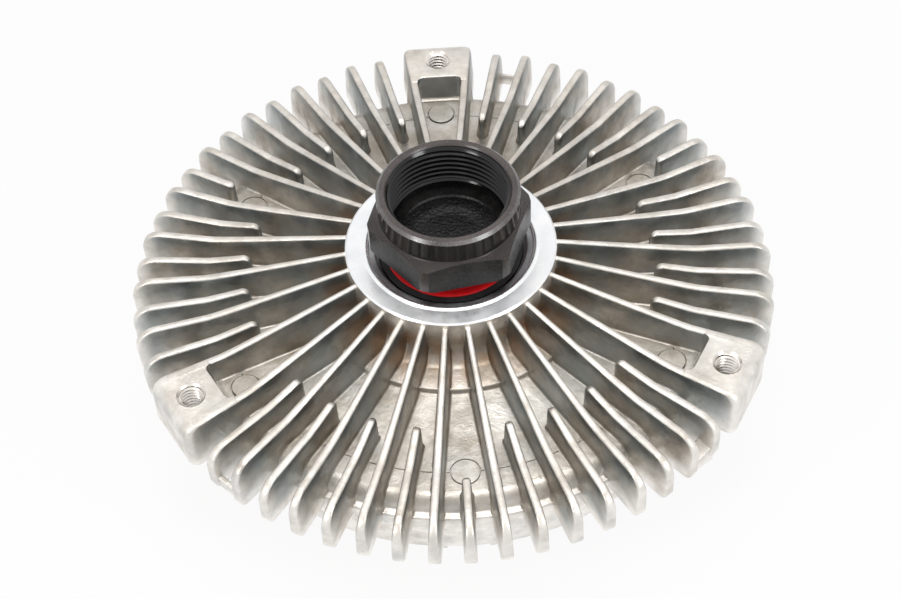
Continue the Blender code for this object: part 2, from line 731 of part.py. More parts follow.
def build_valve_shaft(steel, parent):
    """The valve shaft: slotted for the coil below, grooved for its seal ring, a square tenon on top."""
    z_low = COIL_FLOOR_GAP
    z_shoulder = valve_boss_top()
    z_groove = valve_ring_height()
    groove = VALVE_SHAFT_RADIUS - VALVE_RING_GROOVE
    half_groove = VALVE_RING_SECTION + SEAT_GAP
    points = [
        (0, z_low),
        (VALVE_SHAFT_RADIUS - VALVE_SHAFT_CHAMFER, z_low),
        (VALVE_SHAFT_RADIUS, z_low + VALVE_SHAFT_CHAMFER),
        (VALVE_SHAFT_RADIUS, z_groove - half_groove),
        (groove, z_groove - half_groove),
        (groove, z_groove + half_groove),
        (VALVE_SHAFT_RADIUS, z_groove + half_groove),
        (VALVE_SHAFT_RADIUS, z_shoulder),
        (0, z_shoulder),
    ]
    shaft = add_object("valve_shaft", turned_mesh(points, SMALL_SEGMENTS), steel, parent)
    tenon = prism_mesh(square(VALVE_TENON / 2), z_shoulder - SEAT_GAP, Z_SEPARATOR - SEAT_GAP)
    combine(shaft, tenon, "UNION", "guide_tenon")
    slot = COIL_STRIP / 2 + SEAT_GAP
    reach = 2 * VALVE_SHAFT_RADIUS
    slit = [(-reach, -slot), (reach, -slot), (reach, slot), (-reach, slot)]
    slit_top = COIL_FLOOR_GAP + COIL_WIDTH + SEAT_GAP
    combine(shaft, prism_mesh(slit, z_low - SEAT_GAP, slit_top), "DIFFERENCE", "guide_slot")
    return shaft


def build_valve_arm(steel, parent):
    """The flat spring arm whose pad covers the port in the separator plate."""
    z_low = Z_SEPARATOR - SEAT_GAP - VALVE_ARM_THICKNESS
    z_high = z_low + VALVE_ARM_THICKNESS
    eye = VALVE_SHAFT_RADIUS + VALVE_ARM_EYE
    pad = PORT_RADIUS + VALVE_PAD_OVERLAP
    half = pad - VALVE_ARM_NECK
    eye_angle = math.degrees(math.asin(half / eye))
    pad_angle = math.degrees(math.asin(half / pad))
    outline = arc(0, 0, eye, eye_angle, 360 - eye_angle, 8)
    outline += arc(PORT_PITCH_RADIUS, 0, pad, -180 + pad_angle, 180 - pad_angle, 8)
    arm = add_object("valve_arm", prism_mesh(outline, z_low, z_high), steel, parent)
    hole = square(VALVE_TENON / 2 + SEAT_GAP)
    combine(arm, prism_mesh(hole, z_low - SEAT_GAP, z_high + SEAT_GAP), "DIFFERENCE", "guide_arm_hole")
    return arm


def valve_ring_height():
    """Height of the valve shaft's seal ring, half-way through the cover's floor."""
    return (Z_RESERVOIR + Z_COVER_FACE) / 2


def build_valve_ring(rubber, parent):
    """The small seal ring in the valve shaft's groove."""
    major = (VALVE_SHAFT_RADIUS - VALVE_RING_GROOVE + VALVE_BORE_RADIUS) / 2
    bm = ring_mesh(major, VALVE_RING_SECTION, valve_ring_height(), SMALL_SEGMENTS)
    return add_object("valve_seal_ring", bm, rubber, parent)


def coil_end_angle():
    """Angle, in radians, at which the coil's outer tab leaves radially."""
    return COIL_TURNS * math.tau


def coil_path():
    """Centre line of the bimetal strip: inner tang, spiral turns and outer tab."""
    path = [(-COIL_TANG, 0.0), (VALVE_SHAFT_RADIUS, 0.0)]
    steps = round(COIL_TURNS * COIL_STEPS_PER_TURN)
    for i in range(1, steps):
        share = i / steps
        radius = COIL_FIRST_RADIUS + (COIL_LAST_RADIUS - COIL_FIRST_RADIUS) * share
        angle = share * COIL_TURNS * math.tau
        path.append((radius * math.cos(angle), radius * math.sin(angle)))
    end = coil_end_angle()
    bend = COIL_LAST_RADIUS + COIL_STRIP / 2
    for radius in (bend, bend + COIL_TAB):
        path.append((radius * math.cos(end), radius * math.sin(end)))
    return path


def path_normals(path):
    """Unit vectors square to an (x, y) path, each midway between the stretches that meet there."""
    stretches = [(Vector(b) - Vector(a)).normalized() for a, b in zip(path, path[1:])]
    normals = []
    for before, after in zip(stretches[:1] + stretches, stretches + stretches[-1:]):
        normals.append((before + after).normalized().orthogonal())
    return normals


def build_coil(bimetal):
    """The bimetal strip, wound flat as a spiral between the valve shaft and the cover's post."""
    path = coil_path()
    z_low, z_high = COIL_FLOOR_GAP, COIL_FLOOR_GAP + COIL_WIDTH
    bm = bmesh.new()
    loops = []
    for centre, normal in zip(path, path_normals(path)):
        left = Vector(centre) + normal * COIL_STRIP / 2
        right = Vector(centre) - normal * COIL_STRIP / 2
        corners = ((*left, z_low), (*right, z_low), (*right, z_high), (*left, z_high))
        loops.append([bm.verts.new(corner) for corner in corners])
    for first, second in zip(loops, loops[1:]):
        join_loops(bm, first, second)
    bm.faces.new(loops[0])
    bm.faces.new(loops[-1])
    return add_object("bimetal_coil", bm, bimetal)


def race_groove(centre_z, land, facing):
    """Points of a ball groove in a ring's land: upwards if it faces out (1), downwards if in (-1)."""
    groove = BALL_RADIUS + RACE_GAP
    depth = abs(BALL_PITCH_RADIUS - land)
    half = math.degrees(math.acos(depth / groove))
    if facing > 0:
        return arc(BALL_PITCH_RADIUS, centre_z, groove, 180 + half, 180 - half, RACE_STEPS)
    return arc(BALL_PITCH_RADIUS, centre_z, groove, half, -half, RACE_STEPS)


def build_bearing(steel, cage_steel, rubber, hub, cage):
    """The deep-groove ball bearing: two rings, balls, cage and a seal each side."""
    middle = Z_BEARING + BEARING_WIDTH / 2
    low, high = Z_BEARING, Z_BEARING_TOP
    seat = BEARING_SEAL_DEPTH + BEARING_SEAL_THICKNESS + SEAT_GAP
    step = OUTER_LAND_RADIUS + SEAT_GAP
    outer = [(step, low), (BEARING_OUTER_RADIUS, low), (BEARING_OUTER_RADIUS, high), (step, high)]
    outer += [(step, high - seat), (OUTER_LAND_RADIUS, high - seat)]
    outer += race_groove(middle, OUTER_LAND_RADIUS, -1)
    outer += [(OUTER_LAND_RADIUS, low + seat), (step, low + seat)]
    add_object("bearing_outer_ring", turned_mesh(outer, BEARING_SEGMENTS), steel)
    inner = [(BEARING_BORE_RADIUS, high), (BEARING_BORE_RADIUS, low), (INNER_LAND_RADIUS, low)]
    inner += race_groove(middle, INNER_LAND_RADIUS, 1)
    inner += [(INNER_LAND_RADIUS, high)]
    add_object("bearing_inner_ring", turned_mesh(inner, BEARING_SEGMENTS), steel, hub)
    for i in range(BALL_COUNT):
        turn = math.tau * i / BALL_COUNT
        place = Matrix.Translation(
            (BALL_PITCH_RADIUS * math.cos(turn), BALL_PITCH_RADIUS * math.sin(turn), middle)
        )
        bm = bmesh.new()
        bmesh.ops.create_uvsphere(
            bm, u_segments=BALL_SEGMENTS, v_segments=BALL_RINGS, radius=BALL_RADIUS, matrix=place
        )
        add_object(f"bearing_ball_{i + 1}", bm, steel, cage)
    build_cage(cage_steel, cage, middle)
    z_upper = high - BEARING_SEAL_DEPTH - BEARING_SEAL_THICKNESS
    z_lower = low + BEARING_SEAL_DEPTH
    inside, outside = INNER_LAND_RADIUS + SEAT_GAP, OUTER_LAND_RADIUS
    for name, z_seal in (("upper", z_upper), ("lower", z_lower)):
        z_top = z_seal + BEARING_SEAL_THICKNESS
        disc = [(inside, z_seal), (outside, z_seal), (outside, z_top), (inside, z_top)]
        add_object(f"bearing_seal_{name}", turned_mesh(disc, BEARING_SEGMENTS), rubber)


def build_cage(steel, parent, middle):
    """The ball cage: a ring with a round window for each ball."""
    window = BALL_RADIUS + SEAT_GAP
    inner = BALL_PITCH_RADIUS - CAGE_THICKNESS / 2
    outer = BALL_PITCH_RADIUS + CAGE_THICKNESS / 2
    low, high = middle - CAGE_HALF_HEIGHT, middle + CAGE_HALF_HEIGHT
    band = [(inner, low), (outer, low), (outer, high), (inner, high)]
    segments = CAGE_SEGMENTS_PER_BALL * BALL_COUNT
    cage = add_object("bearing_cage", turned_mesh(band, segments), steel, parent)
    bm = bmesh.new()
    across = Matrix.Translation((BALL_PITCH_RADIUS, 0, middle)) @ Matrix.Rotation(math.pi / 2, 4, "Y")
    # The cutter stands out of the ring by the ring's own thickness on both sides
    bmesh.ops.create_cone(
        bm,
        cap_ends=True,
        segments=CAGE_WINDOW_SEGMENTS,
        radius1=window,
        radius2=window,
        depth=3 * CAGE_THICKNESS,
        matrix=across,
    )
    place_copies(bm, [i * 360.0 / BALL_COUNT for i in range(BALL_COUNT)])
    combine(cage, bm, "DIFFERENCE", "guide_cage_windows")


def hub_profile():
    """Half section of the hub: shaft, shoulder, hexagon's turned envelope, collar and blind bore."""
    collar = HEX_ACROSS_FLATS / 2 - COLLAR_INSET
    corner = HEX_ACROSS_FLATS / math.sqrt(3) - HEX_CORNER_TRIM
    relief = THREAD_BORE_RADIUS + BORE_RELIEF
    z_floor = Z_COLLAR_TOP - BORE_DEPTH
    z_thread = Z_COLLAR_TOP - THREAD_LENGTH
    shoulder = INNER_LAND_RADIUS - HUB_SHOULDER_INSET
    z_shoulder = Z_BEARING_TOP + SEAT_GAP
    return [
        (0, Z_ROTOR_FACE),
        (SHAFT_RADIUS - SHAFT_CHAMFER, Z_ROTOR_FACE),
        (SHAFT_RADIUS, Z_ROTOR_FACE + SHAFT_CHAMFER),
        (SHAFT_RADIUS, z_shoulder),
        (shoulder, z_shoulder),
        (shoulder, Z_HEX),
        (corner - HEX_FOOT_CHAMFER, Z_HEX),
        (corner, Z_HEX + HEX_FOOT_CHAMFER),
        (corner, Z_HEX_TOP - HEX_CHAMFER_DROP),
        (collar, Z_HEX_TOP),
        (collar, Z_COLLAR_TOP - COLLAR_CHAMFER),
        (collar - COLLAR_CHAMFER, Z_COLLAR_TOP),
        (THREAD_BORE_RADIUS + BORE_CHAMFER, Z_COLLAR_TOP),
        (THREAD_BORE_RADIUS, Z_COLLAR_TOP - BORE_CHAMFER),
        (THREAD_BORE_RADIUS, z_thread),
        (relief, z_thread - BORE_RELIEF),
        (relief, z_floor),
        (BORE_DISH_RADIUS, z_floor),
        (BORE_DISH_RADIUS - BORE_DISH_DEPTH, z_floor - BORE_DISH_DEPTH),
        (0, z_floor - BORE_DISH_DEPTH),
    ]


def build_hub(steel, parent):
    """The drive hub, one forging: threaded nut with its hexagon, and the shaft that turns the rotor."""
    hub = add_object("drive_hub", turned_mesh(hub_profile(), HUB_SEGMENTS), steel, parent)
    bm = bmesh.new()
    circumradius = HEX_ACROSS_FLATS / math.sqrt(3)
    over = HEX_ACROSS_FLATS
    z_low = Z_HEX - SEAT_GAP
    loops = []
    for radius, z in ((circumradius, z_low), (over, z_low), (over, Z_HEX_TOP), (circumradius, Z_HEX_TOP)):
        ring = []
        for i in range(HEX_SIDES):
            turn = math.radians(HEX_TURN) + i * math.tau / HEX_SIDES
            ring.append(bm.verts.new((radius * math.cos(turn), radius * math.sin(turn), z)))
        loops.append(ring)
    for i, loop in enumerate(loops):
        join_loops(bm, loop, loops[(i + 1) % len(loops)])
    combine(hub, bm, "DIFFERENCE", "guide_flats")
    return hub


def build():
    """Builds every piece of the clutch."""
    clear_scene()
    cast = make_material("cast_aluminium", (0.72, 0.69, 0.66), 1.0, 0.35)
    black = make_material("black_oxide", (0.05, 0.048, 0.047), 0.7, 0.4)
    steel = make_material("bearing_steel", (0.62, 0.62, 0.63), 1.0, 0.2)
    plate_steel = make_material("plate_steel", (0.5, 0.5, 0.5), 1.0, 0.35)
    red = make_material("red_seal", (0.6, 0.02, 0.02), 0.0, 0.5)
    rubber = make_material("rubber", (0.02, 0.02, 0.02), 0.0, 0.7)
    bimetal = make_material("bimetal", (0.6, 0.52, 0.42), 1.0, 0.3)
    hub_axis = add_empty("hub_axis", (0, 0, Z_BEARING))
    cage_axis = add_empty("cage_axis", (0, 0, Z_BEARING))
    valve_axis = add_empty("valve_axis", (0, 0, Z_COVER_FACE))
    build_housing(cast)
    build_cover(cast)
    build_cover_seal(rubber)
    build_separator(plate_steel)
    build_coil(bimetal)
    build_valve_shaft(plate_steel, valve_axis)
    build_valve_arm(plate_steel, valve_axis)
    build_valve_ring(rubber, valve_axis)
    build_bearing(steel, plate_steel, red, hub_axis, cage_axis)
    build_rotor(cast, hub_axis)
    build_hub(black, hub_axis)


build()
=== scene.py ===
import math

import bmesh
import bpy
import numpy as np
from mathutils import Matrix, Vector


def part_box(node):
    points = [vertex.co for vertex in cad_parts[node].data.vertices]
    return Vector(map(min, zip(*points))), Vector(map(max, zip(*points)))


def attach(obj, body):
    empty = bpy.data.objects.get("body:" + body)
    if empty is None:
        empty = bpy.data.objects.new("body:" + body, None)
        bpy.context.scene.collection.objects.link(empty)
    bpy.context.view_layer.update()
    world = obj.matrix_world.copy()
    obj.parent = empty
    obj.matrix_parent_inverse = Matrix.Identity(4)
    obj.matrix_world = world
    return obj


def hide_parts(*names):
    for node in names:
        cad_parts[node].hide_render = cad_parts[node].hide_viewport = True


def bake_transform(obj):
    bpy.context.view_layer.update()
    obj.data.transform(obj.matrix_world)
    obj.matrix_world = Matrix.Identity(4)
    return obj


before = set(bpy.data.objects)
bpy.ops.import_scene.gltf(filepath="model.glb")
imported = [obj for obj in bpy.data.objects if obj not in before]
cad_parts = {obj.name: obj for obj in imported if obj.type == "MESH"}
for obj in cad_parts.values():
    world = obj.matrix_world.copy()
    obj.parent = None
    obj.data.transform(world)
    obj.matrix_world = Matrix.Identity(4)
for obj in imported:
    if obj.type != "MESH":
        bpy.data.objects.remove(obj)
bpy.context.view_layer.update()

# Lengths are in millimetres and become metres when a mesh is made
MM = 0.001


def top_of(node):
    """Highest point of a solid, in millimetres."""
    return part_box(node)[1][2] / MM


def bottom_of(node):
    """Lowest point of a solid, in millimetres."""
    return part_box(node)[0][2] / MM


# Casting: radii
FIN_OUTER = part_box("clutch_housing")[1][1] / MM
BOSS_RADIUS = 24.6
BOSS_CHAMFER = 0.4
FOOT_SPREAD = 3.4
STEP_RADIUS = 33.7
STEP_ROUND = 0.4
STEP_FILLET = 0.35
SPLIT_RADIUS = 55.2
SPLIT_HALF = 0.14
SHOULDER_START = 59.9
SHOULDER_ROUND = 3.4
LEDGE_FILLET = 0.4
DRUM_RADIUS = 65.2
DRUM_ROUND = 0.5
RIM_RADIUS = 61.5
RIM_ROUND = 1.0
CHAMBER_RADIUS = 57.0
COVER_RADIUS = 58.5
LIP_RADIUS = COVER_RADIUS - 1.2
LIP_ROUND = 0.5
SHAFT_BORE = 17.05
BORE_FLARE = 5.0
SEAT_GAP = 0.3
SEAT_RADIUS = 20.3

# The staked lip over the bearing, a little lower here than in the solid
STAKE_CURVE = 0.9
STAKE_CENTRE = SEAT_RADIUS - 0.3
STAKE_CREST = 0.35
STAKE_HEIGHT_IN_SOLID = 0.4

# Casting: heights
BOSS_TOP = top_of("clutch_housing") - STAKE_HEIGHT_IN_SOLID
BEARING_TOP = top_of("bearing_outer_ring")
BEARING_LOW = bottom_of("bearing_outer_ring")
SEAT_WALL = 3.0
PLATE = BEARING_LOW - 0.9
SPLIT_DEPTH = 0.3
STEP_TOP = PLATE + 1.5
FOOT_HEIGHT = 5.6
FOOT_TOP = STEP_TOP + FOOT_HEIGHT
FOOT_STEPS = 8
LEDGE = PLATE - SHOULDER_ROUND
CEILING = PLATE - 5.0
FIN_TOP = PLATE + 6.6
FIN_BOTTOM = PLATE - 6.2
RIM_LOW = bottom_of("clutch_housing")
LIP_THICKNESS = 1.2
COVER_TOP = bottom_of("rotor") - 0.8

# Fins
LUG_COUNT = 3
FINS_PER_LUG = 10
FIN_PITCH = 360.0 / (LUG_COUNT * FINS_PER_LUG)
FIN_RISE = 5.6
FIN_SWEEP = 1.08
FIN_FLAT_START = FIN_OUTER - 17.6
FIN_TIP = 1.3
FIN_DRAFT = math.tan(math.radians(2.7))
FIN_CORNER = 5.0
FIN_TOE = 1.5
FIN_TOE_BACK = 0.2
FIN_ROOT = 1.0
FIN_EDGE = 0.55
FIN_FILLET = 0.5
SHORT_START = 47.3
SHORT_DROP = 0.8
SHORT_NOSE = 2.0
NOSE_ROUND = 1.6
NOSE_LEAN = 0.15
STUB_START = DRUM_RADIUS - 5.4
STUB_NOSE = 0.7 * SHORT_NOSE
SUNK = 0.3

# Gate stubs: the angle, height and width of each, the last one torn off
GATES = ((75.0, 3.0, 1.2), (225.0, 3.0, 1.2), (315.0, 5.8, 3.6))
GATE_HEIGHT = 3.0
GATE_WIDTH = 1.2
GATE_BACK = 0.9
GATE_DROP = 9.2
GATE_EDGE = 0.25
GATE_SPAN = 0.95

# Lugs
LUG_TOP = FIN_TOP + 0.1
LUG_HOLE_PITCH = 69.2
LUG_HOLE_RADIUS = 2.35
LUG_THREAD_RADIUS = 2.85
LUG_THREAD_PITCH = 1.0
LUG_SINK_RADIUS = 3.35
LUG_SINK_DEPTH = 0.45
LUG_CORNER = 3.0
LUG_PLAN_ROUND = 1.8
LUG_FIN_OUTER = FIN_OUTER - 2.5
LUG_WALL = 62.9
LUG_WALL_SLOPE = 1.1
LUG_POCKET_ROUND = 1.6
LUG_FILLET = 0.9
LUG_EDGE = 0.3
LUG_TOE = 0.6
LUG_COVER = (-0.08, 0.04)
LUG_COVER_RUN = 4.0
LUG_ANGLES = [90.0 + i * 360.0 / LUG_COUNT for i in range(LUG_COUNT)]

# Round marks of the ejector pins on the plate
MARK_RADIUS = 3.5
MARK_PITCH = 55.1
MARK_PITCH_IN_LUG = 56.1
MARK_RISE = 0.05
MARK_RISE_IN_LUG = 0.35
MARK_GROOVE = 0.28
MARK_DEPTH = 0.45
MARK_ANGLES = [30.0 + i * 360.0 / LUG_COUNT for i in range(LUG_COUNT)]

# Hub
HUB_TOP = top_of("drive_hub")
HEX_ACROSS = 33.8
HEX_TOP = HUB_TOP - 6.0
HEX_LOW = HEX_TOP - 8.5
HEX_TURN = 9.4
HEX_CORNER = HEX_ACROSS / math.sqrt(3) - 0.6
HEX_CHAMFER_DROP = 1.6
HEX_FOOT_CHAMFER = 0.5
HEX_SHARP_ANGLE = 25
COLLAR_RADIUS = 16.4
COLLAR_CHAMFER = 0.7
COLLAR_FILLET = 0.45
THREAD_MINOR = 13.3
THREAD_MAJOR = 14.1
THREAD_PITCH = 1.5
THREAD_LENGTH = 12.1
BORE_DEPTH = 14.9
BORE_CHAMFER = 1.2
SHAFT_RADIUS = 8.5
SHAFT_CHAMFER = 0.8
SHOULDER_RADIUS = 11.6
SEAL_DROP = 0.4
SEAL_DEPTH = 0.8

# Front half
COVER_FACE = 8.2
COVER_WALL = 3.4
COVER_BORE = 4.3
COVER_FLANGE_FACE = COVER_TOP - 4.8
COVER_SEAL_DEPTH = 2.1
RESERVOIR_RADIUS = 39.1
LAND_COUNT = 3
LAND_START = 54.1
LAND_PITCH = 3.8
LAND_WIDTH = 1.3
COVER_FIN_COUNT = 30
COVER_FIN_START = 25.5
COVER_FIN_HALF = 0.8

# Meshes
SHELL_SEGMENTS = 240
RING_SEGMENTS = 160
SMALL_SEGMENTS = 48
SHARP_ANGLE = 35
MERGE_DISTANCE = 1e-4
TINY = 1e-6

# Finishes
MOST_NOISE = (0.3, 0.7)
MIX_FIRST, MIX_SECOND, MIX_RESULT = 6, 7, 2
# How dark the painted shade on the fins' walls gets, as a share of the walls' tint
PAINTED_WALL_DARKNESS = 0.54
BOSS_FOOT_BROWN = (0.47, 0.325, 0.215)
# Near white, for the painted highlight on the casting's drum, fin ends, crests and boss top
PAINTED_LIGHT_METAL = (0.97, 0.935, 0.89)

# Camera, with its lengths in millimetres
CAMERA_ELEVATION = math.radians(50.19)
CAMERA_DISTANCE = 439.5
CAMERA_ROLL = math.radians(-2.96)
CAMERA_TURN = math.radians(0.64)
CAMERA_LENS = 75.58
AIM_SIDE = -0.71
AIM_BACK = -9.62
AIM_HEIGHT = 36.4

# Studio, in metres
LAMP_AIM = (0, 0, 0.03)
KEY_SIZE = 0.24
KEY_POWER = 1.8
SKY_COLOUR = (0.96, 0.98, 1.0)
SKY_STRENGTH = 0.5
FLOOR_COLOUR = (0.82, 0.82, 0.82)
FLOOR_GLOW = 0.9


def arc(centre_r, centre_z, radius, first, last, steps):
    """Points of an arc in the (radius, height) plane, with both ends."""
    points = []
    for i in range(steps + 1):
        angle = math.radians(first + (last - first) * i / steps)
        points.append((centre_r + radius * math.cos(angle), centre_z + radius * math.sin(angle)))
    return points


def resample(points, count):
    """A polyline's shape again, with a given number of evenly spaced points."""
    points = np.array(points, float)
    steps = np.hypot(*np.diff(points, axis=0).T)
    along = np.concatenate([[0], np.cumsum(steps)])
    places = np.linspace(0, along[-1], count)
    return np.stack([np.interp(places, along, points[:, i]) for i in (0, 1)], axis=1)


def distance_to(line, points):
    """Distance of each (r, z) point to a polyline."""
    line = np.array(line, float)
    best = np.full(points.shape[:-1], np.inf)
    for first, second in zip(line[:-1], line[1:]):
        run = second - first
        share = ((points - first) @ run) / max(run @ run, 1e-12)
        nearest = first + np.clip(share, 0, 1)[..., None] * run
        best = np.minimum(best, np.linalg.norm(points - nearest, axis=-1))
    return best


def fallback(radius, distance):
    """How far a surface with a rounded edge falls back at a distance from that edge."""
    short = np.clip(radius - distance, 0, radius)
    return radius - np.sqrt(np.maximum(radius**2 - short**2, 0))


def grid_faces(rows, columns, closed=False):
    """Quads between neighbouring rings of points. If closed, the last ring joins the first."""
    i, j = np.meshgrid(np.arange(rows if closed else rows - 1), np.arange(columns), indexing="ij")
    i2, j2 = (i + 1) % rows, (j + 1) % columns
    quads = np.stack([i * columns + j, i2 * columns + j, i2 * columns + j2, i * columns + j2], axis=-1)
    return [tuple(quad) for quad in quads.reshape(-1, 4)]


def bar_body(sections):
    """Vertices and faces of a closed bar through matching cross sections, with both ends capped."""
    sections = np.asarray(sections, float)
    count, depth = sections.shape[:2]
    faces = grid_faces(count, depth)
    faces += [tuple(range(depth)), tuple(range((count - 1) * depth, count * depth))]
    return sections.reshape(-1, 3), faces


def box_body(half_x, half_y, z_low, z_high):
    """Vertices and faces of an upright box round the Z axis."""
    corners = ((-half_x, -half_y), (half_x, -half_y), (half_x, half_y), (-half_x, half_y))
    return bar_body([[(x, y, z) for x, y in corners] for z in (z_low, z_high)])


def mirrored_body(points, side):
    """Vertices and faces of a closed fin along +X, from a flank's (r, z) points and half thicknesses."""
    count, depth = side.shape
    left = np.stack([points[..., 0], side, points[..., 1]], axis=-1)
    right = left * np.array([1, -1, 1])
    loop = np.concatenate([left, right[:, ::-1]], axis=1)
    faces = grid_faces(count, 2 * depth)
    for row in (0, count - 1):
        first = row * 2 * depth
        last = first + 2 * depth - 1
        faces += [(first + j, first + j + 1, last - j - 1, last - j) for j in range(depth - 1)]
    return loop.reshape(-1, 3), faces


def turned_points(angles, r, z):
    """Points at radii r and heights z, with one row for each angle."""
    angles = angles[:, None]
    return np.stack(np.broadcast_arrays(r * np.cos(angles), r * np.sin(angles), z), axis=-1)


def turned_body(profile, segments, finish_at=None):
    """Vertices, faces and slots of a closed (radius, height) outline turned about Z."""
    profile = np.array(profile, float)
    points = turned_points(np.arange(segments) * math.tau / segments, *profile.T)
    middles = (profile + np.roll(profile, -1, axis=0)) / 2
    slots = [finish_at(r, z) if finish_at else 0 for r, z in middles] * segments
    faces = grid_faces(segments, len(profile), closed=True)
    return points.reshape(-1, 3), faces, slots


def around(body, angles, out=0.0):
    """Copies of a body, first moved out along X, at several angles about Z."""
    verts, *rest = body
    verts = verts + np.array([out, 0, 0])
    for angle in np.radians(angles):
        c, s = math.cos(angle), math.sin(angle)
        yield verts @ np.array([[c, s, 0], [-s, c, 0], [0, 0, 1]]), *rest


def make_piece(name, materials, *bodies):
    """Makes one object of closed bodies, with its faces outwards and its doubled points merged."""
    verts, faces, slots = [], [], []
    for body_verts, body_faces, *body_slots in bodies:
        faces += [tuple(int(v) + len(verts) for v in face) for face in body_faces]
        slots += body_slots[0] if body_slots else [0] * len(body_faces)
        verts += list(body_verts)
    mesh = bpy.data.meshes.new(name)
    mesh.from_pydata(np.array(verts) * MM, [], faces)
    mesh.polygons.foreach_set("material_index", slots)
    bm = bmesh.new()
    bm.from_mesh(mesh)
    bmesh.ops.remove_doubles(bm, verts=bm.verts, dist=MERGE_DISTANCE * MM)
    bmesh.ops.dissolve_degenerate(bm, edges=bm.edges, dist=1e-8)
    bmesh.ops.recalc_face_normals(bm, faces=bm.faces)
    bm.to_mesh(mesh)
    bm.free()
    for material in materials:
        mesh.materials.append(material)
    item = bpy.data.objects.new(name, mesh)
    bpy.context.collection.objects.link(item)
    smooth_shade(item)
    return item


def smooth_shade(item, sharp=SHARP_ANGLE):
    """Smooth faces with sharp edges above an angle."""
    item.data.shade_smooth()
    item.data.set_sharp_from_angle(angle=math.radians(sharp))


def cut(item, material, cutter_bodies, sharp=SHARP_ANGLE):
    """Takes closed bodies out of a piece and shades it again. material is for the cut faces."""
    cutter = make_piece(f"{item.name}_cutter", [material], *cutter_bodies)
    modifier = item.modifiers.new("cut", "BOOLEAN")
    modifier.operation = "DIFFERENCE"
    modifier.object = cutter
    graph = bpy.context.evaluated_depsgraph_get()
    mesh = bpy.data.meshes.new_from_object(item.evaluated_get(graph))
    item.modifiers.clear()
    item.data = mesh
    bpy.data.objects.remove(cutter, do_unlink=True)
    smooth_shade(item, sharp)


def place(item, body, slot, *nodes):
    """Says what a piece rides on and which solids it stands for. slot, where its finish comes from, is not
    used.
    """
    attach(item, body)
    if nodes:
        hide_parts(*nodes)


# Materials

class Tree:
    """Short calls for building a node tree."""

    def __init__(self, tree):
        self.tree = tree

    def feed(self, socket, value):
        """Links a socket to another one, or gives it a number, a vector or a colour."""
        if isinstance(value, bpy.types.NodeSocket):
            self.tree.links.new(value, socket)
        else:
            socket.default_value = (*value, 1.0) if socket.type == "RGBA" else value

    def node(self, kind, feeds, output=0, **settings):
        """Adds a node, feeds its sockets and gives one of its outputs."""
        item = self.tree.nodes.new(kind)
        for name, value in settings.items():
            setattr(item, name, value)
        for name, value in feeds.items():
            self.feed(item.inputs[name], value)
        return item.outputs[output] if item.outputs else item

    def maths(self, operation, first, second):
        return self.node("ShaderNodeMath", {0: first, 1: second}, operation=operation)

    def times(self, first, second):
        return self.maths("MULTIPLY", first, second)

    def larger(self, first, second):
        return self.maths("MAXIMUM", first, second)

    def rest_of(self, share):
        return self.maths("SUBTRACT", 1.0, share)

    def backdrop(self):
        """1 for rays that show the backdrop: from the camera, or by way of gloss or glass."""
        names = ("Is Camera Ray", "Is Glossy Ray", "Is Transmission Ray")
        camera, glossy, glass = (self.node("ShaderNodeLightPath", {}, name) for name in names)
        return self.larger(self.larger(camera, glossy), glass)


